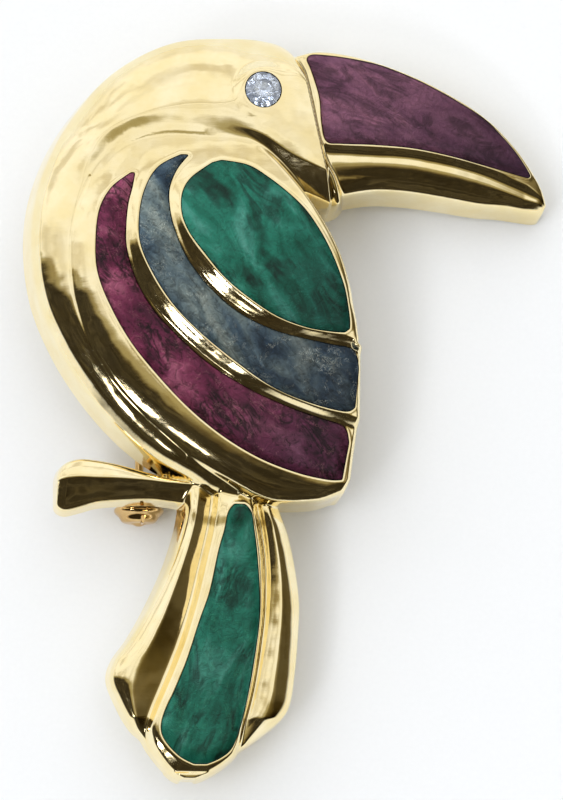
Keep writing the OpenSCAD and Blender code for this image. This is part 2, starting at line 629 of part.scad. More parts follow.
// All points of the casting's outside, which give the box that the origin is set under
SECTIONS = concat(
    [for (row = smooth(BODY)) body_section(row)],
    WING_SECTIONS,
    [for (row = smooth(BEAK)) beak_section(row)],
    [for (row = smooth(TAIL)) tail_section(row)]);
function lying(p) = [p[0] * cos(rest_tilt) + p[2] * sin(rest_tilt), p[1],
                     p[2] * cos(rest_tilt) - p[0] * sin(rest_tilt)];
LYING = [for (s = SECTIONS) for (p = s) lying(p)];
function middle_of(values) = (min(values) + max(values)) / 2;
floor_w = lying([pin_u, 0, barrel_w])[2] - catch_d / 2;
rest_origin = [middle_of([for (p = LYING) p[0]]), middle_of([for (p = LYING) p[1]]), floor_w];

module lay_down() {
    translate(-rest_origin) rotate([0, rest_tilt, 0]) children();
}

module bird_casting() {
    color(gold) lay_down() difference() {
        union() {
            loft([for (row = smooth(BODY)) body_section(row)]);
            loft(WING_SECTIONS);
            loft([for (row = smooth(BEAK)) beak_section(row)]);
            loft([for (row = smooth(TAIL)) tail_section(row)]);
            loft([for (row = smooth(PERCH)) perch_section(row)]);
            collar();
            throat();
            knot();
            eye_boss();
        }
        pocket(outline(CELL_OUTER, body_size), wing_floor[0]);
        pocket(outline(CELL_MIDDLE, body_size), wing_floor[1]);
        pocket(outline(CELL_INNER, body_size), wing_floor[2]);
        pocket(outline(CELL_BEAK, beak_size, beak_corner), beak_floor);
        pocket(outline(CELL_TAIL, tail_size, tail_corner), tail_floor);
        eye_seat();
    }
}

module wing_outer_enamel() {
    color(plum) lay_down()
        enamel(CELL_OUTER, body_size, [0, 0], wing_floor[0],
               function(p) layer_top[0] - droop(p));
}

module wing_middle_enamel() {
    color(slate) lay_down()
        enamel(CELL_MIDDLE, body_size, [0, 0], wing_floor[1],
               function(p) layer_top[1] - droop(p));
}

module wing_inner_enamel() {
    color(emerald) lay_down()
        enamel(CELL_INNER, body_size, [0, 0], wing_floor[2],
               function(p) layer_top[2] - droop(p));
}

module beak_enamel() {
    color(plum) lay_down()
        enamel(CELL_BEAK, beak_size, beak_corner, beak_floor, function(p) beak_rim(p));
}

module tail_enamel() {
    color(emerald) lay_down()
        enamel(CELL_TAIL, tail_size, tail_corner, tail_floor, function(p) tail_rim(p));
}

module eye_stone() {
    color("lightcyan") lay_down() translate([eye[0], eye[1], girdle_h])
        polyhedron(STONE_POINTS, STONE_FACES);
}

// The hinge block, the pin stem and the catch barrel on their foot plates, as one piece
neck_w = 1.6;
rib_t = 0.6;
waist = 0.5;
module pin_back() {
    color(gold) lay_down() translate([pin_u, 0, 0]) {
        // Foot plates
        translate([-foot_w / 2, catch_v - catch_l / 2 + catch_out, -foot_gap - foot_t])
            cube([foot_w, foot_l, foot_t]);
        translate([-foot_w / 2, hinge_v - foot_l / 2 - foot_t, -foot_gap - foot_t])
            cube([foot_w, foot_l + 2 * foot_t, foot_t]);
        // Round hinge block, its foot and the stem
        translate([0, hinge_v + hinge_l / 2, barrel_w]) rotate([90, 0, 0])
            cylinder(h = hinge_l, d = catch_d, $fn = barrel_fn);
        translate([0, hinge_v, barrel_w]) rotate([90, 0, 0])
            cylinder(h = pin_span, d = stem_d, $fn = stem_fn);
        // Catch barrel with a rib at each end
        translate([0, catch_v + catch_l / 2, barrel_w]) rotate([90, 0, 0])
            cylinder(h = catch_l, d = catch_d - waist, $fn = barrel_fn);
        for (end = [catch_v + catch_l / 2, catch_v - catch_l / 2 + rib_t])
            translate([0, end, barrel_w]) rotate([90, 0, 0])
                cylinder(h = rib_t, d = catch_d, $fn = barrel_fn);
        // Necks from the hinge block and the catch barrel up to their foot plates
        translate([-neck_w / 2, hinge_v - hinge_l / 2, barrel_w])
            cube([neck_w, hinge_l, catch_d / 2 + foot_t / 2]);
        translate([-neck_w / 2, catch_v - catch_l / 2 + catch_out, barrel_w])
            cube([neck_w, catch_l - catch_out, catch_d / 2 + foot_t / 2]);
    }
}

bird_casting();
beak_enamel();
wing_outer_enamel();
wing_middle_enamel();
wing_inner_enamel();
tail_enamel();
eye_stone();
pin_back();
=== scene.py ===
import json
import math
from collections import namedtuple

import bpy
import numpy as np
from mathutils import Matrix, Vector
from mathutils.geometry import delaunay_2d_cdt

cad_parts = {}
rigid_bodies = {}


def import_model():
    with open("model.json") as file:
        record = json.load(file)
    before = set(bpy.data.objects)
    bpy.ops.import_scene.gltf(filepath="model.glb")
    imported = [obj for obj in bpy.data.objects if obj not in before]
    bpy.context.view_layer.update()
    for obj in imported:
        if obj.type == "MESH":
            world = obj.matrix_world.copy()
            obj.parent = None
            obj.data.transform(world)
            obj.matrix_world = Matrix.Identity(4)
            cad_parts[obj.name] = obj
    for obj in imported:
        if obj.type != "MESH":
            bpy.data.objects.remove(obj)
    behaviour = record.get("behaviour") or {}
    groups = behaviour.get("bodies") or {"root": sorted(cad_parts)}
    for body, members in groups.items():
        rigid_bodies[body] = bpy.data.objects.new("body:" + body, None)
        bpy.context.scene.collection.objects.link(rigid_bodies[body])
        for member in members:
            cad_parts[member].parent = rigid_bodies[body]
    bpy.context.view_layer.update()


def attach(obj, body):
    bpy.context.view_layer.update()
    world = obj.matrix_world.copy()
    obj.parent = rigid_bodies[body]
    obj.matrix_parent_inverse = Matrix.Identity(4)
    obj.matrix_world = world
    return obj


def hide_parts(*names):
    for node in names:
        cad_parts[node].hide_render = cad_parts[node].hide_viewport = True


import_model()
MM = 0.001

# The brooch's sizes, in millimetres, and its tables, as in the part's source but for some heights
# that were set in the render. The bird is drawn on a plane: u to the right, v up, w out of the
# flat back.
BODY_SIZE = np.array([25.2, 36.0])
BEAK_SIZE = np.array([19.0, 12.8])
TAIL_SIZE = np.array([14.4, 21.4])
PERCH_SIZE = np.array([9.9, 4.0])
BEAK_CORNER = BODY_SIZE * [0.837, 0.631]
TAIL_CORNER = np.array([0.254 * BODY_SIZE[0], -TAIL_SIZE[1]])
PERCH_CORNER = BODY_SIZE * [0.476, -0.034] - [PERCH_SIZE[0], 0]
WING_CENTRE = BODY_SIZE * [0.64, 0.46]
EYE = BODY_SIZE * [0.689, 0.863]
WING_REACH = 0.43 * BODY_SIZE[1]
# Heights over the back
WALL_H = 2.8
HEAD_H = 6.1
VALLEY_H = 5.6
WING_H = 5.5
LAYER_STEP = 0.65
DROOP = 0.3
BEAK_T = 4.7
TAIL_T = 3.4
PERCH_T = 3.0
COLLAR_R = 0.34
STONE_D = 2.75
# How far the walls lean out for each millimetre down: most, least, and where it is least
LEAN = 0.17
FAR_LEAN = 0.03
LEAST_LEAN_AT = math.radians(20)
# How the brooch lies: its tilt, and the place on the tilted plane where the frame's origin is
TILT = math.radians(8.08591)
ORIGIN = np.array([19.8553, 7.31327, -5.67284])

# Places in the tables are u and v in hundredths of the size of what they draw. Here: the left
# edge, the right edge, then the crown, the wall and the valley in hundredths of HEAD_H, WALL_H
# and VALLEY_H, the shoulder's share of the way across, and the steep part's width in 0.01 mm
BODY = [
    [61.7, -0.1, 64, 1.6, 57.5, 108, 61, 92, 5],
    [54.8, 1.2, 59.1, 3.3, 61.5, 104, 66, 94, 5],
    [49.1, 3.5, 54.4, 5.6, 64.8, 105, 70, 94, 5],
    [38.1, 7.5, 44, 9.8, 67.5, 103, 73, 95, 5],
    [27.4, 13.6, 33.4, 17, 71, 105, 76.8, 96, 5],
    [17.5, 21.4, 25.6, 24, 73.5, 103, 79.5, 96, 5],
    [8.7, 30.8, 18.2, 31.6, 74.8, 103, 81, 96, 5],
    [2, 41.9, 12.7, 40.8, 75.8, 101, 82, 96, 5],
    [-0.2, 55, 11.5, 53.4, 78, 103, 84, 96, 5],
    [2.4, 66.9, 15.1, 64.2, 82, 108, 88, 92, 5],
    [10.3, 79.2, 23.4, 73.2, 90.4, 114, 94, 72, 5],
    [23.8, 90.8, 35.7, 77.4, 95, 113, 97.9, 77, 5],
    [42.1, 98.3, 48.6, 77.9, 95.8, 107, 99, 76, 8],
    [61.9, 100, 57.9, 77, 98.2, 102, 96, 72, 55],
    [73, 99.4, 67.5, 73.6, 100, 100, 90.6, 42, 118],
    [78.6, 97.5, 78.2, 67.8, 100, 100, 83.6, 26, 168],
    [81, 94.2, 90.6, 63.4, 100, 100, 82, 20, 205]]
# Seven places across the wing: the band's foot and top, the foot and the top of each of the two
# steps, and the right edge; then the step in hundredths of LAYER_STEP, the band's foot in
# hundredths of VALLEY_H, and how much of its full lean the left wall has, in hundredths
WING = [
    [46, 81.4, 47.2, 81.1, 48.4, 81, 49.6, 80.8, 51.2, 80.6, 52.8, 80.3, 55.6, 79.7, 0, 98.5, 0],
    [31, 77.2, 35.3, 75.6, 36.9, 75.3, 43.7, 75, 46.8, 74.7, 51.6, 74.4, 64.3, 76.4, 0, 98.3, 0],
    [23, 73.6, 29, 70.8, 31.7, 70.8, 38.9, 70.6, 45.2, 70.6, 52, 70.6, 72.2, 72.2, 12, 94.2, 0],
    [16.7, 66.7, 23.8, 65.3, 29.4, 65, 32.9, 65, 40.7, 65, 44.8, 65, 80.6, 65.8, 35, 89, 0],
    [12.7, 59.7, 19.4, 58.6, 27.8, 58.9, 31.3, 58.9, 40.7, 59.2, 44.4, 59.2, 86.9, 59.2, 62, 86, 0],
    [11.3, 51.4, 18.7, 51.9, 27.8, 52.5, 31.7, 52.8, 43.3, 53.1, 48, 52.8, 92.1, 51.9, 85, 83.5, 0],
    [12.7, 41.4, 20.2, 43.6, 30.2, 45.6, 35.3, 46.4, 47.2, 47.5, 53.2, 47.8, 95.2, 44.7, 100, 82, 0],
    [17.5, 31.7, 25, 35.8, 35.3, 39.2, 40.5, 40.3, 52.8, 42.8, 59.1, 43.3, 96.4, 40, 100, 81, 0],
    [25, 23.1, 32.9, 28.1, 42.9, 33.1, 48.4, 34.4, 59.5, 38.7, 66.3, 39.6, 97.2, 37.2, 100, 79.5, 0],
    [35.3, 15.3, 42.1, 20.8, 51.6, 27.8, 57.1, 29.2, 67.1, 35.6, 74.2, 36.4, 97.6, 35.3, 100, 77, 0],
    [47, 8.4, 52.4, 14.3, 61.1, 23.3, 66.3, 24.4, 76.2, 33.3, 81.3, 34.7, 97.8, 33.9, 100, 74, 0],
    [59, 3.2, 63.9, 9, 72.2, 19.7, 76.2, 20.8, 84.1, 32.1, 87.7, 34, 98, 33.1, 100, 73, 0],
    [72.2, -1.2, 76.2, 5.3, 84.1, 16.5, 86.5, 18.2, 91.3, 31.2, 93.3, 33.6, 98.2, 32.5, 100, 70, 15],
    [85.7, -1.4, 88.1, 3.1, 92.9, 14.6, 94, 17.2, 95.4, 30.7, 96.2, 32.8, 98, 32.4, 100, 77, 15],
    [93.2, 0.3, 95.2, 3.3, 97.2, 13.9, 97.8, 16.4, 98, 29.7, 97.9, 31.1, 97.6, 31.9, 100, 82, 30]]
# The left and the right edge of each row, here and for the other cells
CELL_OUTER = [
    [29, 67.6, 30.2, 67.6], [23.4, 64.4, 29.4, 64.4], [19.8, 59.7, 28.2, 60.8],
    [18.7, 53.1, 27.6, 55.8], [19.4, 45.8, 28, 50.8], [23.8, 38.1, 31, 44.2],
    [30.2, 30.6, 36.5, 37.8], [38.9, 23.3, 45.2, 31.5], [48, 16.9, 53.8, 26.5],
    [57.9, 11.5, 65.3, 21.7], [68.7, 7.2, 76.6, 18.3], [79.8, 4.4, 86.5, 16],
    [88.9, 3.1, 93.8, 14.3], [93.3, 3.1, 95.4, 11]]
CELL_MIDDLE = [
    [44, 71.8, 46.4, 71.8], [37.3, 69, 42.9, 68.6], [33.3, 64.2, 40.7, 64.7],
    [31.5, 58.1, 40.5, 60.8], [31.9, 51.9, 41.9, 55.8], [35.7, 45.6, 46, 48.9],
    [42.1, 38.9, 53.2, 42.5], [50.8, 32.8, 61.9, 37.5], [61.5, 26.9, 71.8, 34.2],
    [71.8, 22.1, 81.3, 32.5], [82.9, 19, 88.9, 31.5], [93.6, 17.3, 96.2, 30.4],
    [96.8, 18.2, 98, 26.6]]
CELL_INNER = [
    [53.6, 70.2, 56.4, 70.8], [47.2, 66.7, 64.3, 69.9], [44.4, 63.1, 70.2, 67.5],
    [44.2, 58.6, 76.2, 64.2], [46.4, 54.4, 81.7, 60.3], [50.8, 50, 86.1, 55.6],
    [56.7, 45, 89.3, 51.1], [64.3, 40.6, 91.7, 46.7], [72.6, 36.9, 93.3, 43.1],
    [81.3, 34.7, 94.2, 39.7], [88.9, 33.9, 94.8, 36.4], [93.3, 33.8, 94.8, 34.6]]
# The edge, the lip and the underside, then the heights of the top, of the edge and of the
# underside's edge in hundredths of BEAK_T
BEAK = [
    [-5, 91.5, -1, 31, -3, 2, 100, 62, 62],
    [5, 94.8, 10, 30.6, 8, 4, 100, 62, 62],
    [22, 91.8, 27, 30.2, 27, 9.6, 99, 61, 61],
    [43, 82.3, 43, 29.6, 43, 9.6, 96, 60, 59],
    [63, 68.6, 60, 25.8, 60, 6.8, 91, 58, 56],
    [77, 55, 73, 21.4, 72, 4.4, 86, 56, 53],
    [87, 40.4, 84, 15.8, 83, 3.5, 80, 54, 50],
    [94, 26.8, 92.2, 11.5, 91.5, 1.9, 74, 51, 48],
    [98.6, 15.2, 97.4, 8.6, 96.8, 1, 68, 48, 45],
    [101, 6, 100.4, 4.5, 99.8, 1.6, 56, 44, 42]]
CELL_BEAK = [
    [-0.4, 89.4, -0.8, 87.4], [1.8, 91, 1.3, 80.2], [9.5, 90.6, 4.4, 64.6],
    [18, 89.3, 5.3, 48.5], [26.7, 87.2, 7.2, 37.6], [33, 84.7, 13, 36.5],
    [41, 80.5, 27, 36.6], [49.9, 75, 43, 35.6], [61.6, 66.4, 58, 32.3],
    [73.3, 56, 71, 28.1], [80.5, 46.2, 79.5, 25.3], [86.5, 36.6, 86, 23.1],
    [91, 27.4, 90.4, 21.8], [92.8, 22.8, 92.2, 21.5]]
# The left edge, both sides of the middle feather and the right edge, then the heights of the
# middle feather and of the side ones in hundredths of TAIL_T
TAIL = [
    [40, 112, 55.4, 112, 73, 112, 84, 112, 66, 60],
    [38.4, 99, 53.2, 98, 75.6, 96, 88.6, 97, 100, 92],
    [36, 89, 51, 88, 77.8, 88, 93.6, 88, 98, 90],
    [30, 76, 47.4, 77, 80, 76, 97.8, 75, 95, 87],
    [20, 61, 42.4, 62, 80, 60, 100, 63, 91, 84],
    [11, 50, 36.8, 49, 78.2, 48, 99.5, 51, 87, 80],
    [2.8, 42, 31.6, 39.5, 75.8, 37, 98, 39, 83, 76],
    [0.2, 35, 26.8, 31.5, 73.5, 29, 95.2, 27, 79, 72],
    [4.5, 27, 22.8, 25, 70.5, 21, 89, 20.5, 76, 66],
    [12, 18, 19.8, 19, 68.4, 14, 76, 13.5, 74, 58],
    [17.2, 14.6, 19.8, 15.6, 67, 11, 69, 10.4, 73, 50],
    [20.6, 10.8, 21.8, 11.6, 65, 8.4, 66.2, 8, 72, 50],
    [27, 5.2, 27.8, 5.9, 58, 4.6, 58.8, 4, 69, 47],
    [33.2, 1.2, 33.9, 1.9, 49.6, 1.5, 50.2, 0.8, 66, 44],
    [37.6, -0.2, 38, 0.3, 44.8, 0.2, 45.2, -0.3, 64, 42]]
CELL_TAIL = [
    [63.6, 97, 69.2, 97], [60.4, 94, 72.4, 94.2], [58.6, 88, 73.8, 89],
    [55.4, 80, 75.6, 80], [51, 66, 77.1, 66], [45.5, 55, 77, 55],
    [39.5, 42, 74.6, 43], [33, 31, 72, 32], [28, 23.6, 69.7, 24],
    [26.4, 18, 66.8, 17], [29, 13.5, 63, 11.2], [36, 8.6, 57.4, 8],
    [43.6, 5.9, 50.4, 5.9]]
# The left edge and the right edge, then the height in hundredths of PERCH_T and the crest's
# share of the way across in hundredths
PERCH = [
    [106, 58, 106, 16, 88, 5],
    [86, 68, 86, 22, 84, 20],
    [72, 77, 72, 25, 84, 29],
    [48, 92, 50, 22, 88, 39],
    [30, 99, 32, 17, 93, 42],
    [18, 100, 20, 8, 97, 38],
    [8, 92, 8, 1, 98, 33],
    [2, 77, 1, 10, 92, 33],
    [0, 60, 0, 28, 84, 40]]
# The bead of the collar: u, v, and w in hundredths of HEAD_H
COLLAR = [
    [86.3, 75.5, 78], [87.3, 72.8, 76], [88.9, 70.6, 75],
    [90.7, 68.6, 72], [92.1, 66.1, 67], [93, 63.9, 60]]

# The height map: its cell, its lower left corner and its size in cells, and how far the walls
# run on below the back
CELL = 0.04
LOW = np.array([-1.6, -23.0])
COLS, ROWS = 1085, 1510
BELOW = 0.6
# Points over a round shoulder
ARC = 22
# What is higher than this lies well inside the casting's outline
ON_TOP = 1.0
# Lengths and shares below the one count as nothing, and areas below the other
TINY = 1e-9
NO_AREA = 1e-12


def smooth(rows, steps):
    """Catmull-Rom through the rows of a table, all columns at once."""
    p = np.asarray(rows, float)
    ends = np.vstack([p[:1], p, p[-1:]])
    t = (np.arange(steps) / steps)[None, :, None]
    a, b, c, d = (ends[k:k + len(p) - 1][:, None, :] for k in range(4))
    curve = (2 * b + (c - a) * t + (2 * a - 5 * b + 4 * c - d) * t ** 2
             + (3 * b - a - 3 * c + d) * t ** 3) / 2
    return np.vstack([curve.reshape(-1, p.shape[1]), p[-1:]])


def place(rows, pair, size, corner=(0, 0)):
    """The places in one pair of a table's columns, in millimetres."""
    return np.asarray(corner) + rows[:, 2 * pair:2 * pair + 2] * size / 100


def gap(a, b):
    return np.linalg.norm(b - a, axis=1)


def across(a, b, share=0.0, inset=0.0):
    """The places a share of the way from a to b, and inset millimetres further."""
    length = np.maximum(np.linalg.norm(b - a, axis=1, keepdims=True), TINY)
    return a + (b - a) * (share + np.broadcast_to(np.asarray(inset, float), (len(a),))[:, None] / length)


def beside(a, b, width, most):
    """The places width millimetres from a towards b, but at most a share of the way."""
    return across(a, b, inset=np.minimum(width, most * gap(a, b)))


def lifted(p, w):
    return np.column_stack([p, np.broadcast_to(w, (len(p),))])


def rise(a, b, low, high, start=0.0, end=math.pi / 2, count=ARC):
    """A round shoulder from a up to b. start, end: the part of the quarter round that is used."""
    turn = np.linspace(start, end, count)
    wide, tall = math.cos(start) - math.cos(end), math.sin(end) - math.sin(start)
    return [lifted(across(a, b, (math.cos(start) - math.cos(t)) / wide),
                   low + (high - low) * (math.sin(t) - math.sin(start)) / tall) for t in turn]


def fall(a, b, high, low, start=0.0, end=math.pi / 2):
    return rise(b, a, low, high, start, end)[::-1]


def walled(top, shares=(1, 1)):
    """The section's top with a leaning wall at each end, run on below the back. The walls lean
    least where they face right and a little up."""
    least = [math.cos(LEAST_LEAN_AT), math.sin(LEAST_LEAN_AT)]
    ends = []
    for edge, others, share in ((top[0], top[1:], shares[0]), (top[-1], top[-2::-1], shares[1])):
        inner = next(q for q in others if np.all(gap(edge[:, :2], q[:, :2]) > 1e-6))
        out = (edge - inner)[:, :2] / gap(edge[:, :2], inner[:, :2])[:, None]
        lean = share * (LEAN + FAR_LEAN - (LEAN - FAR_LEAN) * (out @ least)) / 2
        ends.append(lifted(edge[:, :2] + out * (lean * (edge[:, 2] + BELOW))[:, None], -BELOW))
    return np.stack([ends[0]] + list(top) + [ends[1]], axis=1)


def dense(points, longest=0.3):
    """Columns between those that lie further apart than longest."""
    out = [points[:, :1]]
    for k in range(points.shape[1] - 1):
        a, b = points[:, k:k + 1], points[:, k + 1:k + 2]
        n = max(1, math.ceil(float(np.linalg.norm((b - a)[..., :2], axis=-1).max()) / longest))
        out += [a + (b - a) * (i / n) for i in range(1, n + 1)]
    return np.concatenate(out, axis=1)


def droop(p):
    """How much lower the wing is at p than at its centre."""
    return DROOP * (np.linalg.norm(p - WING_CENTRE, axis=-1) / WING_REACH) ** 2


def body_form():
    """Across the body: the left side, the crown, and a slope that runs on under the wing."""
    r = smooth(BODY, steps=26)
    left, right = place(r, 0, BODY_SIZE), place(r, 1, BODY_SIZE)
    crown, wall, low = r[:, 4] * HEAD_H / 100, r[:, 5] * WALL_H / 100, r[:, 6] * VALLEY_H / 100
    shoulder = across(left, right, r[:, 7:8] / 100)
    # The side is a facet and a round where the shoulder is far across, and else a round alone
    alone, both = 70, 90
    banded = np.clip((r[:, 7:8] - alone) / (both - alone), 0, 1)
    brow = beside(left, shoulder, width=0.62, most=0.3)
    brow_share = 0.45
    brow_h = wall + brow_share * (crown - wall)
    sides = [lifted(across(left, brow, s), wall + (brow_h - wall) * s) for s in np.linspace(0, 1, 6)[:-1]]
    sides += rise(brow, shoulder, brow_h, crown, start=0.75, end=1.2)
    rounds = rise(left, shoulder, wall, crown, start=0.45, end=1.4, count=len(sides))
    over = [a * banded + b * (1 - banded) for a, b in zip(sides, rounds)]
    # From the shoulder to the brink the slope is gentle, and falls the later the longer it is
    steep, steepness, under_wing, soonest = r[:, 8] / 100, 0.7, 0.45, 1.3
    brink, end = across(right, left, inset=steep), across(right, left, inset=-under_wing)
    edge = low + steepness * steep
    late = soonest + np.maximum(gap(shoulder, brink) - soonest, 0)
    gentle = [lifted(across(shoulder, brink, s), crown - (crown - edge) * s ** late)
              for s in (0.15, 0.4, 0.65, 0.85)]
    slope = [lifted(across(brink, end, s), edge - (edge - low) * s) for s in np.linspace(0, 1, 5)]
    return walled(over + gentle + slope, (1, 0))


def wing_form():
    """Across the wing: the band, the outer layer, two steps up, and the right edge."""
    r = smooth(WING, steps=26)
    p = [place(r, k, BODY_SIZE) for k in range(7)]
    step, low = r[:, 14] * LAYER_STEP / 100, r[:, 15] * VALLEY_H / 100
    # The upper end is lifted a little
    lift, lift_from, lift_over = 0.25, 24, 4.5
    top = [WING_H - droop(q) + lift * np.clip((q[:, 1] - lift_from) / lift_over, 0, 1) + step * layer
           for q, layer in zip(p, (0, 0, 0, 1, 1, 2, 2))]
    # The band is round, and straight where it is low
    round_above = 0.4
    convex = np.clip((top[1] - low) / round_above, 0, 1)
    crest = beside(p[1], p[0], width=0.3, most=1 / 3)
    band = rise(p[0], crest, low, top[1], start=0.6, end=1.2)
    even_band = [lifted(q[:, :2], low + (top[1] - low) * gap(q[:, :2], p[0]) / gap(crest, p[0]))
                 for q in band]
    parts = [q * convex[:, None] + e * (1 - convex[:, None]) for q, e in zip(band, even_band)]
    parts += [lifted(p[1], top[1]), lifted((p[1] + p[2]) / 2, top[1])]
    for k in (2, 4):
        foot = beside(p[k], p[k + 1], width=0.12, most=1 / 8)
        crest = beside(p[k + 1], p[k], width=0.16, most=1 / 4)
        parts += rise(foot, crest, top[k], top[k + 1], start=0.75, end=1.1) + [lifted(p[k + 1], top[k + 1])]
        if k == 2:
            parts.append(lifted((p[3] + p[4]) / 2, top[3]))
    parts.append(lifted((p[5] + p[6]) / 2, top[6]))
    # The right edge: a round corner, and beyond the last rib's end one more and a wall
    corner, drop, layers_drop = across(p[6], p[5], inset=0.5), 0.1, 0.4
    parts += fall(corner, p[6], top[6], top[6] - drop - layers_drop * r[:, 14] / 100)
    form = walled(parts, (np.clip(r[:, 16], 0, 100) / 100, 1))
    end_w, end_drop, wall_out = 0.45, 0.5, 0.33
    last, ends = form[-1:], [form]
    for t in (0.5, 0.9, 1.2):
        share = 1 - end_drop / WING_H * math.sin(t) ** 2
        ends.append(last * [1, 1, share] + [end_w * (1 - math.cos(t)), 0, 0])
    down = last * [1, 1, 0] + [wall_out + FAR_LEAN * (WING_H + BELOW), 0, -BELOW]
    return np.vstack(ends + [down])


# The beak's hollow slope and its round lower side, which has a faint ridge along its middle:
# shares of the way, with the share of the fall and of the height that belongs to each
HOLLOW = [(0.1, 0.06), (0.25, 0.23), (0.5, 0.52), (0.75, 0.81), (0.9, 0.95), (1.0, 1.0)]
ROLL = [(0.0, 1.0), (0.05, 0.985), (0.12, 0.955), (0.2, 0.905), (0.3, 0.83), (0.42, 0.73),
        (0.465, 0.69), (0.5, 0.68), (0.535, 0.655), (0.6, 0.6), (0.7, 0.505), (0.8, 0.4),
        (0.9, 0.28), (0.96, 0.17), (1.0, 0.0)]


def beak_form():
    """Across the beak: a round edge, a flat rim, the hollow slope to the lip, and the lower half."""
    r = smooth(BEAK, steps=20)
    edge, lip, under = (place(r, k, BEAK_SIZE, BEAK_CORNER) for k in range(3))
    top, edge_h, low = (r[:, k] * BEAK_T / 100 for k in (6, 7, 8))
    shelf, rim = across(edge, lip, inset=0.3), across(edge, lip, share=0.5)
    widest, most, steepness = 0.66, 0.6, 0.55
    slope = np.minimum(widest, most * gap(rim, lip))
    first = across(lip, rim, inset=slope)
    dip = top - steepness * slope
    # The lip is a narrow flat step below the slope
    flat = beside(lip, under, width=0.38, most=0.3)
    flat_drop, roll_drop, roll_from = 0.04, 0.045, 0.02
    parts = rise(edge, shelf, edge_h, top) + [lifted(rim, top), lifted(first, top)]
    parts += [lifted(across(first, lip, s), top + (dip - top) * f) for s, f in HOLLOW]
    parts.append(lifted(flat, dip - flat_drop))
    parts += [lifted(across(flat, under, roll_from + (1 - roll_from) * s), low + (dip - roll_drop - low) * f)
              for s, f in ROLL]
    return walled(parts)


def tail_form():
    """Across the tail: a side feather with a facet, the middle feather and the other side one."""
    r = smooth(TAIL, steps=18)
    p = [place(r, k, TAIL_SIZE, TAIL_CORNER) for k in range(4)]
    top, side = r[:, 8] * TAIL_T / 100, r[:, 9] * TAIL_T / 100
    edge_share, valley_share, steepness = 0.62, 0.68, 0.5
    low, valley = side * edge_share, np.minimum(side, top * valley_share)
    a, d = across(p[0], p[1], share=0.40), across(p[2], p[3], share=0.45)
    b, c = (beside(p[i], p[j], width=0.5, most=1 / 3) for i, j in ((1, 2), (2, 1)))
    inner = np.maximum(valley, side - steepness * gap(a, p[1]))
    facet = [lifted(across(a, p[1], s), side + (inner - side) * f)
             for s, f in ((0, 0), (0.1, 0.07), (0.9, 0.93), (1, 1))]
    return walled(rise(p[0], a, low, side, start=0.3, end=1.35) + facet
                  + rise(p[1], b, inner, np.maximum(top, inner), start=0.3) + fall(c, p[2], top, valley)
                  + rise(p[2], d, valley, side, start=0.5, end=1.3)
                  + fall(d, p[3], side, low, start=0.5, end=1.3))


def perch_form():
    """Across the perch: a facet up to the crest, and a slope down."""
    r = smooth(PERCH, steps=16)
    left, right = (place(r, k, PERCH_SIZE, PERCH_CORNER) for k in range(2))
    top = r[:, 4] * PERCH_T / 100
    crest = across(left, right, r[:, 5:6] / 100)
    edge_share, steepness, most = 0.72, 0.5, 0.45
    facet = [lifted(across(left, crest, s), top * (edge_share + (1 - edge_share) * f))
             for s, f in ((0.0, 0.0), (0.05, 0.3), (0.15, 0.5), (0.5, 0.78), (0.9, 0.97), (1.0, 1.0))]
    drop = np.minimum(steepness * gap(crest, right), top * most)
    slope = [lifted(across(crest, right, s), top - f * drop)
             for s, f in ((0.0, 0.0), (0.06, 0.04), (0.3, 0.26), (0.6, 0.58), (0.85, 0.88), (1.0, 1.0))]
    return walled(facet + slope)


def rasterize(points):
    """The height map of the surface through a grid of points."""
    heights = np.full((ROWS, COLS), -BELOW)
    q = np.concatenate([(points[..., :2] - LOW) / CELL, points[..., 2:]], axis=-1)
    a, b, c, d = q[:-1, :-1], q[1:, :-1], q[1:, 1:], q[:-1, 1:]
    tri = np.concatenate([np.stack([a, b, c], 2).reshape(-1, 3, 3),
                          np.stack([a, c, d], 2).reshape(-1, 3, 3)])
    low = np.maximum(np.ceil(tri[..., :2].min(1)).astype(int), 0)
    high = np.minimum(np.floor(tri[..., :2].max(1)).astype(int), [COLS - 1, ROWS - 1])
    size = high - low + 1
    good = (size > 0).all(1)
    tri, low, size = tri[good], low[good], size[good]
    x0, y0 = tri[:, 0, 0], tri[:, 0, 1]
    ex, ey = tri[:, 1, 0] - x0, tri[:, 1, 1] - y0
    fx, fy = tri[:, 2, 0] - x0, tri[:, 2, 1] - y0
    area = ex * fy - ey * fx
    good = np.abs(area) > NO_AREA
    tri, low, size, x0, y0, ex, ey, fx, fy, area = (
        v[good] for v in (tri, low, size, x0, y0, ex, ey, fx, fy, area))
    for dy in range(size[:, 1].max()):
        for dx in range(size[:, 0].max()):
            m = np.nonzero((size[:, 0] > dx) & (size[:, 1] > dy))[0]
            if not len(m):
                continue
            x, y = low[m, 0] + dx, low[m, 1] + dy
            px, py = x - x0[m], y - y0[m]
            s = (px * fy[m] - py * fx[m]) / area[m]
            t = (ex[m] * py - ey[m] * px) / area[m]
            inside = (s >= -TINY) & (t >= -TINY) & (s + t <= 1 + TINY)
            m, s, t = m[inside], s[inside], t[inside]
            z = tri[m, 0, 2] * (1 - s - t) + tri[m, 1, 2] * s + tri[m, 2, 2] * t
            np.maximum.at(heights, (y[inside], x[inside]), z)
    return heights


def patch(centre, reach):
    """The part of the map round a place: its slices and the u and v of its cells."""
    c = np.rint((np.asarray(centre) - LOW) / CELL).astype(int)
    n = math.ceil(reach / CELL)
    ys = slice(max(c[1] - n, 0), min(c[1] + n + 1, ROWS))
    xs = slice(max(c[0] - n, 0), min(c[0] + n + 1, COLS))
    v, u = np.mgrid[ys, xs]
    return (ys, xs), u * CELL + LOW[0], v * CELL + LOW[1]


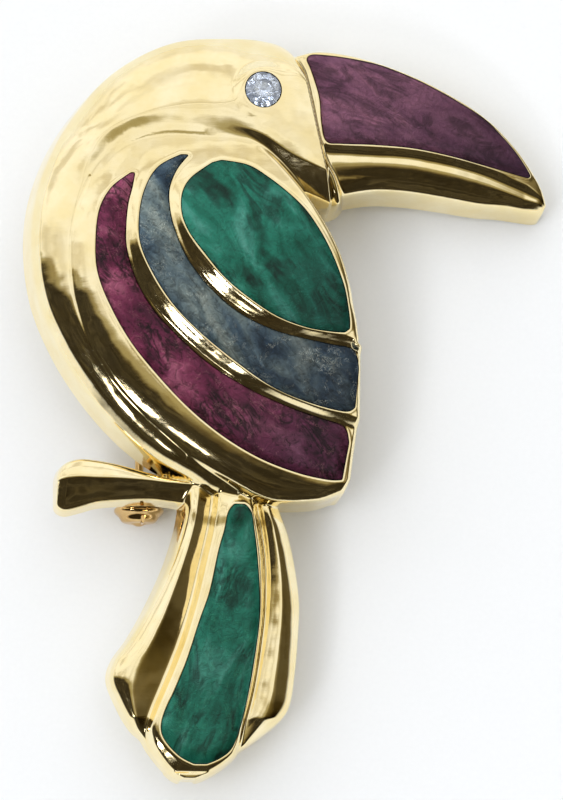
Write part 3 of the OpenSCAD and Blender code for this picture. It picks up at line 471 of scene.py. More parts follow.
def along(u, v, a, b):
    """For each place, the share of the way from a to b where it is nearest, and how far it is."""
    d = b - a
    t = np.clip(((u - a[0]) * d[0] + (v - a[1]) * d[1]) / max(d @ d, TINY), 0, 1)
    return t, np.hypot(u - a[0] - d[0] * t, v - a[1] - d[1] * t)


def bead(heights, a, b, radius, to_back=False):
    """A rod with round ends from a to b, each [u, v, w of its middle]."""
    a, b = np.asarray(a, float), np.asarray(b, float)
    wall_room = 0.7
    window, u, v = patch((a[:2] + b[:2]) / 2, np.linalg.norm(b[:2] - a[:2]) / 2 + radius + wall_room)
    t, far = along(u, v, a[:2], b[:2])
    middle = a[2] + (b[2] - a[2]) * t
    top = np.where(far < radius, middle + np.sqrt(np.maximum(radius ** 2 - far ** 2, 0)), -BELOW)
    if to_back:
        wall = middle - (far - radius) / LEAN
        top = np.maximum(top, np.where(far >= radius, np.maximum(wall, -BELOW), -BELOW))
    heights[window] = np.maximum(heights[window], top)


def blur(f, cells):
    n = math.ceil(3 * cells)
    k = np.exp(-0.5 * (np.arange(-n, n + 1) / cells) ** 2)
    k /= k.sum()
    for axis in (0, 1):
        g = np.zeros_like(f)
        wide = np.pad(f, [(n, n) if i == axis else (0, 0) for i in (0, 1)], mode="edge")
        for i, weight in enumerate(k):
            g += weight * (wide[i:i + f.shape[0]] if axis == 0 else wide[:, i:i + f.shape[1]])
        f = g
    return f


def sample(f, points, corner=LOW):
    """The map's values at points. corner: where the map begins."""
    q = (np.asarray(points)[:, :2] - corner) / CELL
    i = np.clip(np.floor(q).astype(int), 0, [f.shape[1] - 2, f.shape[0] - 2])
    t = np.clip(q - i, 0, 1)
    x, y, s, r = i[:, 0], i[:, 1], t[:, 0], t[:, 1]
    return ((f[y, x] * (1 - s) + f[y, x + 1] * s) * (1 - r)
            + (f[y + 1, x] * (1 - s) + f[y + 1, x + 1] * s) * r)


def outline(rows, size, corner=(0, 0)):
    fine = smooth(rows, steps=10)
    return np.vstack([place(fine, 0, size, corner), place(fine, 1, size, corner)[::-1]])


def distance(loop, u, v):
    """Signed distance to a closed loop, negative inside."""
    best, inside = np.full(u.shape, 1e9), np.zeros(u.shape, bool)
    for a, b in zip(loop, np.roll(loop, -1, axis=0)):
        d = b - a
        if d @ d < NO_AREA:
            continue
        t = np.clip(((u - a[0]) * d[0] + (v - a[1]) * d[1]) / (d @ d), 0, 1)
        best = np.minimum(best, (u - a[0] - d[0] * t) ** 2 + (v - a[1] - d[1] * t) ** 2)
        if a[1] != b[1]:
            inside ^= ((a[1] > v) != (b[1] > v)) & (u < d[0] * (v - a[1]) / d[1] + a[0])
    best = np.sqrt(best)
    return np.where(inside, -best, best)


def contours(f, level, corner):
    """Closed loops where f crosses level, in millimetres, the longest first."""
    f = f - level
    f[f == 0] = NO_AREA
    up = f > 0
    cols, shift = f.shape[1], f.size
    flat, tall = up[:, :-1] != up[:, 1:], up[:-1] != up[1:]
    where = {}
    for crossed, first, down, right in ((flat, 0, 0, 1), (tall, shift, 1, 0)):
        y, x = np.nonzero(crossed)
        t = f[y, x] / (f[y, x] - f[y + down, x + right])
        where.update(zip((first + y * cols + x).tolist(),
                         np.column_stack([x + t * right, y + t * down]).tolist()))
    links = {}
    count = flat[:-1].astype(int) + flat[1:] + tall[:, :-1] + tall[:, 1:]
    for y, x in zip(*np.nonzero(count)):
        here = y * cols + x
        sides = [k for k, crossed in ((here, flat[y, x]), (shift + here + 1, tall[y, x + 1]),
                                      (here + cols, flat[y + 1, x]), (shift + here, tall[y, x])) if crossed]
        for a, b in zip(sides[::2], sides[1::2]):
            links.setdefault(a, []).append(b)
            links.setdefault(b, []).append(a)
    loops, seen = [], set()
    for start in links:
        if start in seen:
            continue
        chain, here, last = [], start, None
        while here is not None and here not in seen:
            seen.add(here)
            chain.append(where[here])
            here, last = next((n for n in links[here] if n != last and n not in seen), None), here
        loops.append(np.array(chain) * CELL + corner)
    return sorted(loops, key=len, reverse=True)


def even(loop, spacing, relax=2):
    """The loop with its points spaced evenly, after a little smoothing."""
    for _ in range(relax):
        loop = (np.roll(loop, 1, 0) + 2 * loop + np.roll(loop, -1, 0)) / 4
    closed = np.vstack([loop, loop[:1]])
    run = np.concatenate([[0], np.cumsum(np.linalg.norm(np.diff(closed, axis=0), axis=1))])
    n = max(12, round(run[-1] / spacing))
    at = np.arange(n) * run[-1] / n
    out = np.column_stack([np.interp(at, run, closed[:, k]) for k in (0, 1)])
    area = np.sum(out[:, 0] * np.roll(out[:, 1], -1) - np.roll(out[:, 0], -1) * out[:, 1])
    return out if area > 0 else out[::-1]


def triangulate(loops, inner=()):
    """Triangles of the region inside the first loop and outside the others, through the inner
    points. Returns them as indices into the loops' points followed by the inner points."""
    points, edges, border = [], [], 0
    for loop in loops:
        n = len(loop)
        edges += [(border + i, border + (i + 1) % n) for i in range(n)]
        points.append(loop)
        border += n
    points = np.vstack(points + [inner]) if len(inner) else np.vstack(points)
    _, _, faces, origin, _, _ = delaunay_2d_cdt([Vector(p) for p in points.tolist()], edges, [], 0, 1e-7)
    index = np.array([o[0] for o in origin])
    tris = index[np.array(faces)]
    rim = (tris < border).all(1)
    middle = points[tris[rim]].mean(1)
    keep = distance(loops[0], *middle.T) < 0
    for loop in loops[1:]:
        keep &= distance(loop, *middle.T) >= 0
    inside = np.ones(len(tris), bool)
    inside[np.nonzero(rim)[0]] = keep
    tris = tris[inside]
    p = points[tris]
    turn = np.cross(p[:, 1] - p[:, 0], p[:, 2] - p[:, 0])
    tris[turn < 0] = tris[turn < 0][:, ::-1]
    return tris[np.abs(turn) > NO_AREA]


def tilted(p):
    """Points or directions of the drawing's plane, turned as the brooch lies."""
    c, s = math.cos(TILT), math.sin(TILT)
    return np.column_stack([p[:, 0] * c + p[:, 2] * s, p[:, 1], p[:, 2] * c - p[:, 0] * s])


def lay(points):
    """Points of the plane, as the brooch lies, in metres."""
    return (tilted(np.asarray(points, float)) - ORIGIN) * MM


def unit(v):
    return v / np.maximum(np.linalg.norm(v, axis=1, keepdims=True), TINY)


def in_scene(name, data):
    thing = bpy.data.objects.new(name, data)
    bpy.context.scene.collection.objects.link(thing)
    return thing


def make_piece(name, points, faces, material, normals=None):
    """A mesh piece that rides on the root. normals: one for each corner, in the plane's frame."""
    mesh = bpy.data.meshes.new(name)
    mesh.from_pydata(lay(points).tolist(), [], [list(map(int, f)) for f in faces])
    mesh.materials.append(material)
    mesh.polygons.foreach_set("use_smooth", [True] * len(mesh.polygons))
    if normals is not None:
        mesh.normals_split_custom_set(unit(tilted(normals)).tolist())
    piece = in_scene(name, mesh)
    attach(piece, "root")
    return piece


def joined(a, b, soft):
    """The higher of two forms, with a fillet of about soft millimetres where they cross."""
    near = np.clip(1 - np.abs(a - b) / soft, 0, 1) * ((a > 0) & (b > 0))
    return np.maximum(a, b) + soft * near ** 2 / 4


def least(f, cells):
    """The lowest value within a square round each cell."""
    for axis in (0, 1):
        g = f.copy()
        for k in range(1, cells + 1):
            for way in (-k, k):
                g = np.minimum(g, np.roll(f, way, axis))
        f = g
    return f


def softened(f, cells):
    """The blur of what lies on the casting, unaffected by what lies beside it."""
    on = (f > ON_TOP).astype(float)
    return blur(f * on, cells) / np.maximum(blur(on, cells), 1e-6)


def eased(t):
    """From 0 to 1 with soft ends."""
    t = np.clip(t, 0, 1)
    return t * t * (3 - 2 * t)


def near_line(points, full, none):
    """1 within full millimetres of a line through points, falling to 0 at none."""
    points = np.asarray(points, float)
    window, u, v = patch((points.min(0) + points.max(0)) / 2, float(np.ptp(points, axis=0).max()) / 2 + none)
    far = np.full(u.shape, math.inf)
    for a, b in zip(points, points[1:]):
        far = np.minimum(far, along(u, v, a, b)[1])
    out = np.zeros((ROWS, COLS))
    out[window] = eased((none - far) / (none - full))
    return out


# The gold's height map: the highest of all the forms, each with the width of its fillet where
# it meets those before it
heights = rasterize(dense(body_form()))
for form, fillet in ((wing_form, 0.25), (beak_form, 0.25), (tail_form, 0.2), (perch_form, 0.2)):
    heights = joined(heights, rasterize(dense(form())), fillet)
collar = [np.append(BODY_SIZE * [a / 100, b / 100], w * HEAD_H / 100)
          for a, b, w in smooth(COLLAR, steps=14)]
for a, b in zip(collar, collar[1:]):
    bead(heights, a, b, COLLAR_R)
# A short rod fills the corner between the throat and the beak
bead(heights, (21.5, 24.5, 2.7), (22.9, 23.9, 2.7), radius=1.2, to_back=True)
# Creases inside the outline are filled a little, the valley at the wing's upper end and the slope
# under the head much more. The widths of blurs are in cells.
RIM_CELLS = 7
FILL_BLUR = 3
VALLEY_BLUR = 4
inside = blur((least(heights, RIM_CELLS) > ON_TOP).astype(float), FILL_BLUR)
creases = near_line(place(smooth(WING[:4], steps=4), 0, BODY_SIZE), full=0.3, none=0.9) * inside
heights += inside * np.maximum(blur(heights, FILL_BLUR) - heights, 0)
heights += creases * (softened(heights, VALLEY_BLUR) - heights)
UNDER_HEAD = BODY_SIZE * [[0.40, 0.77], [0.47, 0.79], [0.56, 0.78]]
under_head = near_line(UNDER_HEAD, full=1.0, none=2.2) * inside
heights += under_head * (softened(heights, FILL_BLUR) - heights)
# The eye's boss: a low swelling, level within one radius and gone at the other
BOSS_LEVEL, BOSS_R, BOSS_ROOM = 1.5, 2.5, 3.2
window, u, v = patch(EYE, BOSS_ROOM)
far = np.hypot(u - EYE[0], v - EYE[1])
heights[window] += eased((BOSS_R - far) / (BOSS_R - BOSS_LEVEL)) * (HEAD_H - heights[window])

# Cells: a map of the distance to each one's outline, negative inside, with the first and the last
# place of the map. far_map has the distance to the nearest one.
CELLS = {
    "wing_outer": (CELL_OUTER, BODY_SIZE, (0, 0)),
    "wing_middle": (CELL_MIDDLE, BODY_SIZE, (0, 0)),
    "wing_inner": (CELL_INNER, BODY_SIZE, (0, 0)),
    "beak": (CELL_BEAK, BEAK_SIZE, BEAK_CORNER),
    "tail": (CELL_TAIL, TAIL_SIZE, TAIL_CORNER)}
CellMap = namedtuple("CellMap", "window corner end dist")
CELL_ROOM = 0.6
SURFACE_BLUR = 1.5
FAR_AWAY = 9.0
far_map = np.full((ROWS, COLS), FAR_AWAY)
cell_maps = {}
for kind, (rows, size, corner) in CELLS.items():
    loop = outline(rows, size, corner)
    low, high = loop.min(0), loop.max(0)
    window, u, v = patch((low + high) / 2, float((high - low).max()) / 2 + CELL_ROOM)
    dist = blur(distance(loop, u, v), SURFACE_BLUR)
    cell_maps[kind] = CellMap(window, (u[0, 0], v[0, 0]), (u[0, -1], v[-1, 0]), dist)
    far_map[window] = np.minimum(far_map[window], dist)

# Round the tail's foot the gold falls away from the cell, within the reach given
FOOT_TOP, FOOT_FADE = 0.22, 0.08
FOOT_SLOPE, FOOT_FROM, FOOT_REACH = 0.52, 0.3, 3
ENAMEL_BLUR = 2.2
smooth_h = blur(heights, ENAMEL_BLUR)
_, _, all_v = patch((0, 0), max(COLS, ROWS) * CELL)
foot = np.clip((TAIL_CORNER[1] + FOOT_TOP * TAIL_SIZE[1] - all_v) / (FOOT_FADE * TAIL_SIZE[1]), 0, 1)
fallen = foot * FOOT_SLOPE * np.maximum(far_map - FOOT_FROM, 0) * (far_map < FOOT_REACH)
heights -= np.where(heights > 0, fallen, 0)
# A thin raised rim runs round each cell, and a fine seam between the wing's band and the body
RIM_H, RIM_AT, RIM_W = 0.05, 0.12, 0.09
SEAM_DEPTH = 0.05
seam = near_line(place(smooth(WING[3:11], steps=8), 0, BODY_SIZE), full=0.0, none=0.16) * inside
heights += RIM_H * np.exp(-((far_map - RIM_AT) / RIM_W) ** 2)
heights -= SEAM_DEPTH * seam
gold_h = blur(heights, SURFACE_BLUR)


def normals_of(f):
    """Maps of the three parts of a height map's normal."""
    slope_v, slope_u = np.gradient(f, CELL)
    length = np.sqrt(1 + slope_u ** 2 + slope_v ** 2)
    return [-slope_u / length, -slope_v / length, 1 / length]


gold_n = normals_of(gold_h)
bend = np.sqrt(sum(g ** 2 for m in gold_n for g in np.gradient(m, CELL)))


def normals_at(maps, points, corner=LOW):
    return np.column_stack([sample(m, points, corner) for m in maps])


# How far outside its drawn outline a cell's wall stands, the bevel of its edge, the wall's depth,
# and the spacing of the points along outlines
WALL_AT = 0.02
BEVEL = 0.02
WALL_DEPTH = 0.45
BASE_SPACING = 0.12
EDGE_SPACING = 0.1
base_loop = even(contours(np.minimum(gold_h, 1.0), 0.0, LOW)[0], BASE_SPACING)


def cell_loop(cell, level):
    return even(contours(cell.dist.copy(), level, cell.corner)[0], EDGE_SPACING)


def circle(count):
    t = np.arange(count) / count * 2 * math.pi
    return np.cos(t), np.sin(t)


def ring(centre, radius, count):
    c, s = circle(count)
    return np.column_stack([centre[0] + radius * c, centre[1] + radius * s])


# Points of the gold's top: close together where it bends, further apart where it doesn't. They
# keep clear of the outline, the cells and the stone's seat.
SEED = 11
rng = np.random.default_rng(SEED)
LEAST_H = 0.3
CLEAR = 0.03
SEAT_R = STONE_D / 2 + CLEAR
SEAT_ROOM = 0.1
blocked = (gold_h < LEAST_H) | (far_map < WALL_AT + BEVEL + CLEAR)
window, u, v = patch(EYE, SEAT_R + 1)
blocked[window] |= np.hypot(u - EYE[0], v - EYE[1]) < SEAT_R + SEAT_ROOM
fine_map = np.where(blocked, 0, bend)


def blocks(f, n, how):
    """Each block of n by n cells taken as one."""
    r, c = f.shape[0] // n * n, f.shape[1] // n * n
    return how(how(f[:r, :c].reshape(r // n, n, c // n, n), axis=3), axis=1)


# A block of 8 or 4 cells has one point if the normal turns less than this there, and all the
# rest is made of blocks of 2. Each point is moved a little, as a share of its block.
TURN = 0.16
JITTER = 0.12
ALL_OPEN, MOST_OPEN = 0.99, 0.7
tops, done = [], None
for n in (8, 4, 2):
    finest = n == 2
    most = blocks(fine_map, n, np.max)
    here = blocks((~blocked).astype(float), n, np.mean) > (MOST_OPEN if finest else ALL_OPEN)
    taken = np.zeros(most.shape, bool)
    if done is not None:
        up = np.kron(done, np.ones((2, 2), bool))
        h, w = min(up.shape[0], most.shape[0]), min(up.shape[1], most.shape[1])
        taken[:h, :w] = up[:h, :w]
    use = here & ~taken & ((most * n * CELL < TURN) | finest)
    done = taken | use
    y, x = np.nonzero(use)
    jitter = rng.uniform(-JITTER, JITTER, (len(x), 2)) * n
    tops.append((np.column_stack([x, y]) * n + (n - 1) / 2 + jitter) * CELL + LOW)
tops = np.vstack(tops)


def strip(first, second, n):
    """Quads between two closed loops of n points that start at these indices."""
    i = np.arange(n)
    j = (i + 1) % n
    return [(first + a, first + b, second + b, second + a) for a, b in zip(i, j)]


def numbered(first, normals):
    return {first + i: n for i, n in enumerate(normals)}


class Mesh:
    """Points, faces and corner normals gathered for one piece."""

    def __init__(self):
        self.points, self.faces, self.normals = [], [], []
        self.count = 0

    def add(self, points):
        start = self.count
        self.points.append(np.asarray(points, float))
        self.count += len(points)
        return start

    def face(self, faces, point_normals=None, flat=None):
        """Faces with each corner's normal looked up by its point, or all the same."""
        for f in faces:
            self.faces.append(tuple(int(i) for i in f))
            self.normals.append(np.tile(flat, (len(f), 1)) if flat is not None
                                else np.array([point_normals[int(i)] for i in f]))

    def build(self, name, material):
        normals = np.vstack(self.normals) if self.normals else None
        return make_piece(name, np.vstack(self.points), self.faces, material, normals)


def inward(cell, points):
    """Unit vectors towards a cell's inside at points."""
    slopes = [sample(cell.dist, points + d, cell.corner) - sample(cell.dist, points - d, cell.corner)
              for d in np.eye(2) * CELL]
    return -unit(np.column_stack(slopes))


# The stone's seat: how deep its girdle and its cone lie, the cone's rings, and the slope of its
# normals
EYE_POINTS = 72
GIRDLE_DEPTH = 0.45
CONE_DEPTH = 1.15
CONE_RINGS = (0.8, 0.55, 0.3)
CONE_NORMAL = (0.6, 0.8)
# The bevel's drop, and the shares of the two normals at its foot
BEVEL_DROP = 0.8
BEVEL_MIX = (0.6, 0.4)


def gold_casting(gold):
    m = Mesh()
    holes = [cell_loop(cell, WALL_AT + BEVEL) for cell in cell_maps.values()]
    ways = [inward(cell, loop) for cell, loop in zip(cell_maps.values(), holes)]
    holes.append(ring(EYE, SEAT_R + CLEAR, EYE_POINTS))
    ways.append(unit(EYE - holes[-1]))
    loops = [base_loop] + holes
    flat_points = np.vstack(loops + [tops])
    w = sample(gold_h, flat_points)
    w[:len(base_loop)] = 0
    at = m.add(lifted(flat_points, w)) + len(base_loop)
    m.face(triangulate(loops, tops), normals_at(gold_n, flat_points))
    # The flat back
    m.face(triangulate([base_loop])[:, ::-1], flat=(0, 0, -1))
    # Each cell, and last the seat: a small bevel, a wall and a floor or a cone
    for k, (loop, way) in enumerate(zip(holes, ways)):
        n = len(loop)
        is_cell = k < len(CELLS)
        edge = loop + way * BEVEL
        rim = m.add(lifted(edge, sample(gold_h, loop) - BEVEL * BEVEL_DROP))
        low = m.add(lifted(edge, sample(smooth_h, loop) - WALL_DEPTH if is_cell else HEAD_H - GIRDLE_DEPTH))
        top_n = normals_at(gold_n, loop)
        side = np.column_stack([way, np.zeros(n)])
        rim_n = top_n * BEVEL_MIX[0] + unit(top_n + side) * BEVEL_MIX[1]
        m.face(strip(rim, at, n), {**numbered(at, top_n), **numbered(rim, rim_n)})
        m.face(strip(low, rim, n), {**numbered(rim, side), **numbered(low, side)})
        if is_cell:
            m.face(triangulate([edge]) + low, flat=(0, 0, 1))
        else:
            cone = np.column_stack([way * CONE_NORMAL[0], np.full(n, CONE_NORMAL[1])])
            for share in CONE_RINGS:
                w = HEAD_H - GIRDLE_DEPTH - (1 - share) * CONE_DEPTH
                after = m.add(lifted(ring(EYE, SEAT_R * share, n), w))
                m.face(strip(after, low, n), {**numbered(low, cone), **numbered(after, cone)})
                low = after
            tip = m.add([[*EYE, HEAD_H - GIRDLE_DEPTH - CONE_DEPTH]])
            m.face([(low + i, low + (i + 1) % n, tip) for i in range(n)], flat=(0, 0, 1))
        at += n
    return m.build("gilt_bird", gold)


# An enamel's low dome: its height, and how far from the edge it is reached. Its points: their
# spacing in cells and between which depths, and how far each is moved. How far outside the drawn
# outline it ends, and how far over the cell's floor.
DOME_H, DOME_W = 0.16, 1.0
ENAMEL_POINTS = ((2, 0.04, 0.28), (5, 0.28, 99))
ENAMEL_JITTER = 0.1
ENAMEL_AT, FLOOR_GAP = 0.015, 0.03


def enamel_piece(kind, name, material):
    cell = cell_maps[kind]
    deep = np.clip((WALL_AT - cell.dist) / DOME_W, 0, 1)
    top = blur(smooth_h[cell.window] + DOME_H * (1 - (1 - deep) ** 2), SURFACE_BLUR)
    loop = cell_loop(cell, ENAMEL_AT)
    n = len(loop)
    inner = []
    for step, low, high in ENAMEL_POINTS:
        s = step * CELL
        grid = np.stack(np.meshgrid(*(np.arange(a, b, s) for a, b in zip(cell.corner, cell.end))), -1)
        grid = grid.reshape(-1, 2)
        grid += rng.uniform(-ENAMEL_JITTER, ENAMEL_JITTER, grid.shape) * s
        depth = -sample(cell.dist, grid, cell.corner)
        inner.append(grid[(depth > low) & (depth <= high)])
    inner = np.vstack(inner)
    points = np.vstack([loop, inner])
    m = Mesh()
    m.add(lifted(points, sample(top, points, cell.corner)))
    m.face(triangulate([loop], inner), normals_at(normals_of(top), points, cell.corner))
    low = m.add(lifted(loop, sample(smooth_h, loop) - WALL_DEPTH + FLOOR_GAP))
    out = np.column_stack([-inward(cell, loop), np.zeros(n)])
    m.face(strip(0, low, n), {**numbered(0, out), **numbered(low, out)})
    m.face((triangulate([loop]) + low)[:, [0, 2, 1]], flat=(0, 0, -1))
    return m.build(name, material)


def wire(tree, made, inputs):
    """Sets a node's inputs to numbers or to other nodes' outputs."""
    for key, value in inputs.items():
        if isinstance(value, bpy.types.NodeSocket):
            tree.links.new(value, made.inputs[key])
        else:
            made.inputs[key].default_value = value


def node(tree, kind, inputs, **settings):
    """A shader node with its settings and its inputs."""
    made = tree.nodes.new("ShaderNode" + kind)
    for name, value in settings.items():
        setattr(made, name, value)
    wire(tree, made, inputs)
    return made


def ramp(tree, value, stops):
    """A colour ramp over a value: stops are a place and a colour, or one number for a grey."""
    made = node(tree, "ValToRGB", {0: value})
    marks = made.color_ramp.elements
    while len(marks) < len(stops):
        marks.new(1.0)
    for mark, (place_at, colour) in zip(marks, stops):
        mark.position = place_at
        mark.color = (*(colour if isinstance(colour, tuple) else (colour,) * 3), 1)
    return made.outputs[0]


def mixed(tree, a, b, how="MULTIPLY", factor=1.0):
    made = node(tree, "Mix", {"Factor": factor, 6: a, 7: b}, data_type="RGBA", blend_type=how)
    return made.outputs[2]


def mapped(tree, value, source, target=(0.0, 1.0)):
    """The value, with the range source made the range target."""
    made = node(tree, "MapRange", {0: value, 1: source[0], 2: source[1], 3: target[0], 4: target[1]})
    return made.outputs[0]


def dot(tree, vector, way):
    return node(tree, "VectorMath", {0: vector, 1: way}, operation="DOT_PRODUCT").outputs["Value"]


def scaled(tree, vector, by):
    return node(tree, "VectorMath", {0: vector, 1: by}, operation="MULTIPLY").outputs[0]


def coordinates(tree, kind="Object"):
    return node(tree, "TexCoord", {}).outputs[kind]


def in_mm(tree, stretch=(1, 1, 1)):
    """Object coordinates in millimetres."""
    return scaled(tree, coordinates(tree), [k / MM for k in stretch])


def noise(tree, vector, scale, detail=2.0, rough=0.5, warp=0.0):
    return node(tree, "TexNoise", {"Vector": vector, "Scale": scale, "Detail": detail, "Roughness": rough,
                                   "Distortion": warp}).outputs["Fac"]


def bump(tree, height, mm, strength=1.0, under=None):
    """A normal for heights of so many millimetres, on top of another normal if one is given."""
    inputs = {"Height": height, "Distance": mm * MM, "Strength": strength}
    if under:
        inputs["Normal"] = under
    return node(tree, "Bump", inputs).outputs[0]


def new_material(name):
    material = bpy.data.materials.new(name)
    material.use_nodes = True
    tree = material.node_tree
    return material, tree, tree.nodes["Principled BSDF"]


def gold_plate(name, pale, deep):
    """Polished gilt metal: slightly uneven, with fine wiping marks. pale, deep: its two tones."""
    material, tree, shader = new_material(name)
    place_at = in_mm(tree)
    tone = noise(tree, place_at, scale=0.35, detail=3.0, rough=0.6)
    marks = noise(tree, in_mm(tree, stretch=(0.6, 5.0, 0.6)), scale=1.2, detail=4.0, rough=0.7)
    slow = bump(tree, noise(tree, place_at, scale=0.55, detail=1.0), mm=0.04)
    wire(tree, shader, {
        "Base Color": ramp(tree, tone, [(0.35, deep), (0.65, pale)]),
        "Roughness": mapped(tree, marks, (0.3, 0.75), (0.045, 0.14)),
        "Normal": bump(tree, marks, mm=0.002, strength=0.6, under=slow),
        "Metallic": 1.0})
    return material


def enamel(name, stops, spark, angle, folds, cracks, size, fade):
    """Clear glass enamel over an uneven foil: streaks, cracks and painted glints under a smooth coat,
    with a painted shade towards the lower right. stops: its colours; spark: the painted glints' colour;
    angle: the streaks' direction; folds: the foil's darkest and brightest shade; cracks, size: how
    dark and how close the cracks are; fade: where the painted shade begins and ends, in millimetres."""
    material, tree, shader = new_material(name)
    place_at = in_mm(tree)
    streaky = node(tree, "Mapping", {0: coordinates(tree), "Rotation": (0, 0, math.radians(angle)),
                                     "Scale": (2.6 * MM, MM, MM)}, vector_type="TEXTURE").outputs[0]
    clouds = noise(tree, streaky, scale=0.42, detail=4.0, rough=0.55, warp=1.1)
    grain = noise(tree, place_at, scale=1.6, detail=5.0, rough=0.7, warp=1.2)
    shades = ramp(tree, grain, [(0.36, folds[0]), (0.46, 0.9), (0.56, 1.0), (0.68, folds[1])])
    shaded = mixed(tree, ramp(tree, clouds, stops), shades)
    # Cracks are thin lines where a noise passes its middle, and only in some patches; so are the painted
    # glints below
    patches = noise(tree, place_at, scale=0.33)
    lines = noise(tree, streaky, scale=size, detail=3.0, rough=0.6, warp=1.2)
    cut = ramp(tree, lines, [(0.42, 1), (0.49, cracks), (0.51, cracks), (0.60, 1)])
    uncut = ramp(tree, patches, [(0.42, 1), (0.54, 0)])
    shaded = mixed(tree, shaded, mixed(tree, cut, (1, 1, 1, 1), "MIX", factor=uncut))
    # Painted shade: the colour darkens towards the lower right over the span fade, and is a little lighter
    # at the upper left
    along_it = mapped(tree, dot(tree, place_at, (1.0, -0.6, 0.0)), fade)
    painted_shade = ramp(tree, along_it, [(0.0, 1.1), (0.45, 1), (1.0, (0.38, 0.42, 0.5))])
    # Painted glints: thin pale lines of painted highlight on the foil, in some patches, added to the colour
    painted_glints = ramp(tree, noise(tree, place_at, scale=1.3, detail=5.0, rough=0.7, warp=2.5),
                 [(0.484, 0), (0.495, spark), (0.505, spark), (0.516, 0)])
    there = noise(tree, place_at, scale=0.7, detail=3.0, rough=0.6, warp=1.0)
    there = ramp(tree, there, [(0.52, 0), (0.6, 1)])
    wire(tree, shader, {
        "Base Color": mixed(tree, mixed(tree, shaded, painted_shade), mixed(tree, painted_glints, there), "ADD"),
        "Normal": bump(tree, grain, mm=0.08),
        "Roughness": mapped(tree, clouds, (0.3, 0.7), (0.42, 0.28)),
        "Metallic": 0.75,
        "Coat Weight": 0.3,
        "Coat Roughness": 0.02,
        "Coat IOR": 1.45})
    return material


def clear_stone(name):
    """A colourless cut stone with a faint blue cast that deepens in clouds."""
    material, tree, shader = new_material(name)
    clouds = noise(tree, in_mm(tree), scale=0.8)
    wire(tree, shader, {
        "Base Color": ramp(tree, clouds, [(0.35, (0.55, 0.66, 0.88)), (0.7, (0.8, 0.87, 0.98))]),
        "Roughness": 0.0,
        "IOR": 2.0,
        "Transmission Weight": 0.88})
    return material


gold = gold_plate("gold_plate", (1.0, 0.88, 0.57), (0.95, 0.80, 0.44))
# The pin back's gold: a copy of the same plate painted darker, a painted shade for the parts that lie low
# under the brooch
shaded_gold = gold_plate("shaded_gold_plate", (0.80, 0.56, 0.26), (0.55, 0.34, 0.13))
bird = gold_casting(gold)
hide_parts("bird_casting")
PLUM = [(0.3, (0.05, 0.007, 0.024)), (0.42, (0.125, 0.014, 0.053)), (0.55, (0.21, 0.034, 0.093)),
        (0.7, (0.38, 0.11, 0.19))]
PALE_PLUM = [(0.3, (0.10, 0.036, 0.075)), (0.42, (0.165, 0.06, 0.12)), (0.55, (0.23, 0.092, 0.165)),
             (0.7, (0.33, 0.13, 0.22))]
SLATE = [(0.3, (0.02, 0.045, 0.08)), (0.43, (0.066, 0.112, 0.155)), (0.57, (0.15, 0.205, 0.22)),
         (0.7, (0.26, 0.31, 0.30))]
EMERALD = [(0.3, (0.001, 0.055, 0.034)), (0.42, (0.005, 0.128, 0.085)), (0.55, (0.015, 0.20, 0.14)),
           (0.66, (0.05, 0.28, 0.22)), (0.75, (0.09, 0.34, 0.28))]
ENAMELS = [
    ("wing_outer", "plum_wing_enamel", "wing_outer_enamel", "plum_enamel",
     enamel("plum_wing", PLUM, spark=(0.24, 0.11, 0.12), angle=-50, folds=(0.3, 1.5), cracks=0.2,
            size=0.9, fade=(-15, 3))),
    ("wing_middle", "slate_wing_enamel", "wing_middle_enamel", "slate_enamel",
     enamel("slate_wing", SLATE, spark=(0.36, 0.38, 0.34), angle=-50, folds=(0.5, 1.4), cracks=0.6,
            size=0.9, fade=(-15, 3))),
    ("wing_inner", "emerald_wing_enamel", "wing_inner_enamel", "emerald_enamel",
     enamel("emerald_wing", EMERALD, spark=(0.02, 0.08, 0.06), angle=-58, folds=(0.75, 1.1), cracks=0.4,
            size=0.35, fade=(-17, 3))),
    ("beak", "plum_beak_enamel", "beak_enamel", "plum_enamel",
     enamel("plum_beak", PALE_PLUM, spark=(0.05, 0.02, 0.02), angle=-22, folds=(0.75, 1.15), cracks=0.5,
            size=0.5, fade=(-14, 8))),
    ("tail", "emerald_tail_enamel", "tail_enamel", "emerald_enamel",
     enamel("emerald_tail", EMERALD, spark=(0.03, 0.14, 0.08), angle=-110, folds=(0.7, 1.1), cracks=0.35,
            size=0.45, fade=(-5, 30)))]
for kind, name, old, slot, material in ENAMELS:
    piece = enamel_piece(kind, name, material)
    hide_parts(old)
stone = clear_stone("clear_stone")
for thing in bpy.data.objects:
    if thing.type == "MESH" and thing.name.startswith("eye_stone"):
        thing.data.materials.clear()
        thing.data.materials.append(stone)

# The pin back: a turned catch, a turned hinge with its stem, and their foot plates. The pin's
# axis is at PIN_U and PIN_W.
PIN_U, PIN_W = 0.352 * BODY_SIZE[0], -2.5
CATCH_V, HINGE_V = -0.344, 24.656


def arc(v, r, radius, start, end, count=9):
    """Points of a rounded profile, with angles from the downward direction towards the outside."""
    return [(v - radius * math.cos(t), r + radius * math.sin(t))
            for t in np.radians(np.linspace(start, end, count))]


def turned_part(m, profile, count=56):
    """A body turned round the pin's axis. The profile is v and radius from its lower end on."""
    c, s = circle(count)
    rings = [m.add(np.column_stack([PIN_U + r * c, np.full(count, v), PIN_W + r * s]))
             for v, r in profile[1:-1]]
    ends = [m.add([[PIN_U, profile[k][0], PIN_W]]) for k in (0, -1)]
    for a, b in zip(rings, rings[1:]):
        m.faces += strip(b, a, count)
    for i in range(count):
        j = (i + 1) % count
        m.faces.append((rings[0] + i, rings[0] + j, ends[0]))
        m.faces.append((rings[-1] + j, rings[-1] + i, ends[1]))


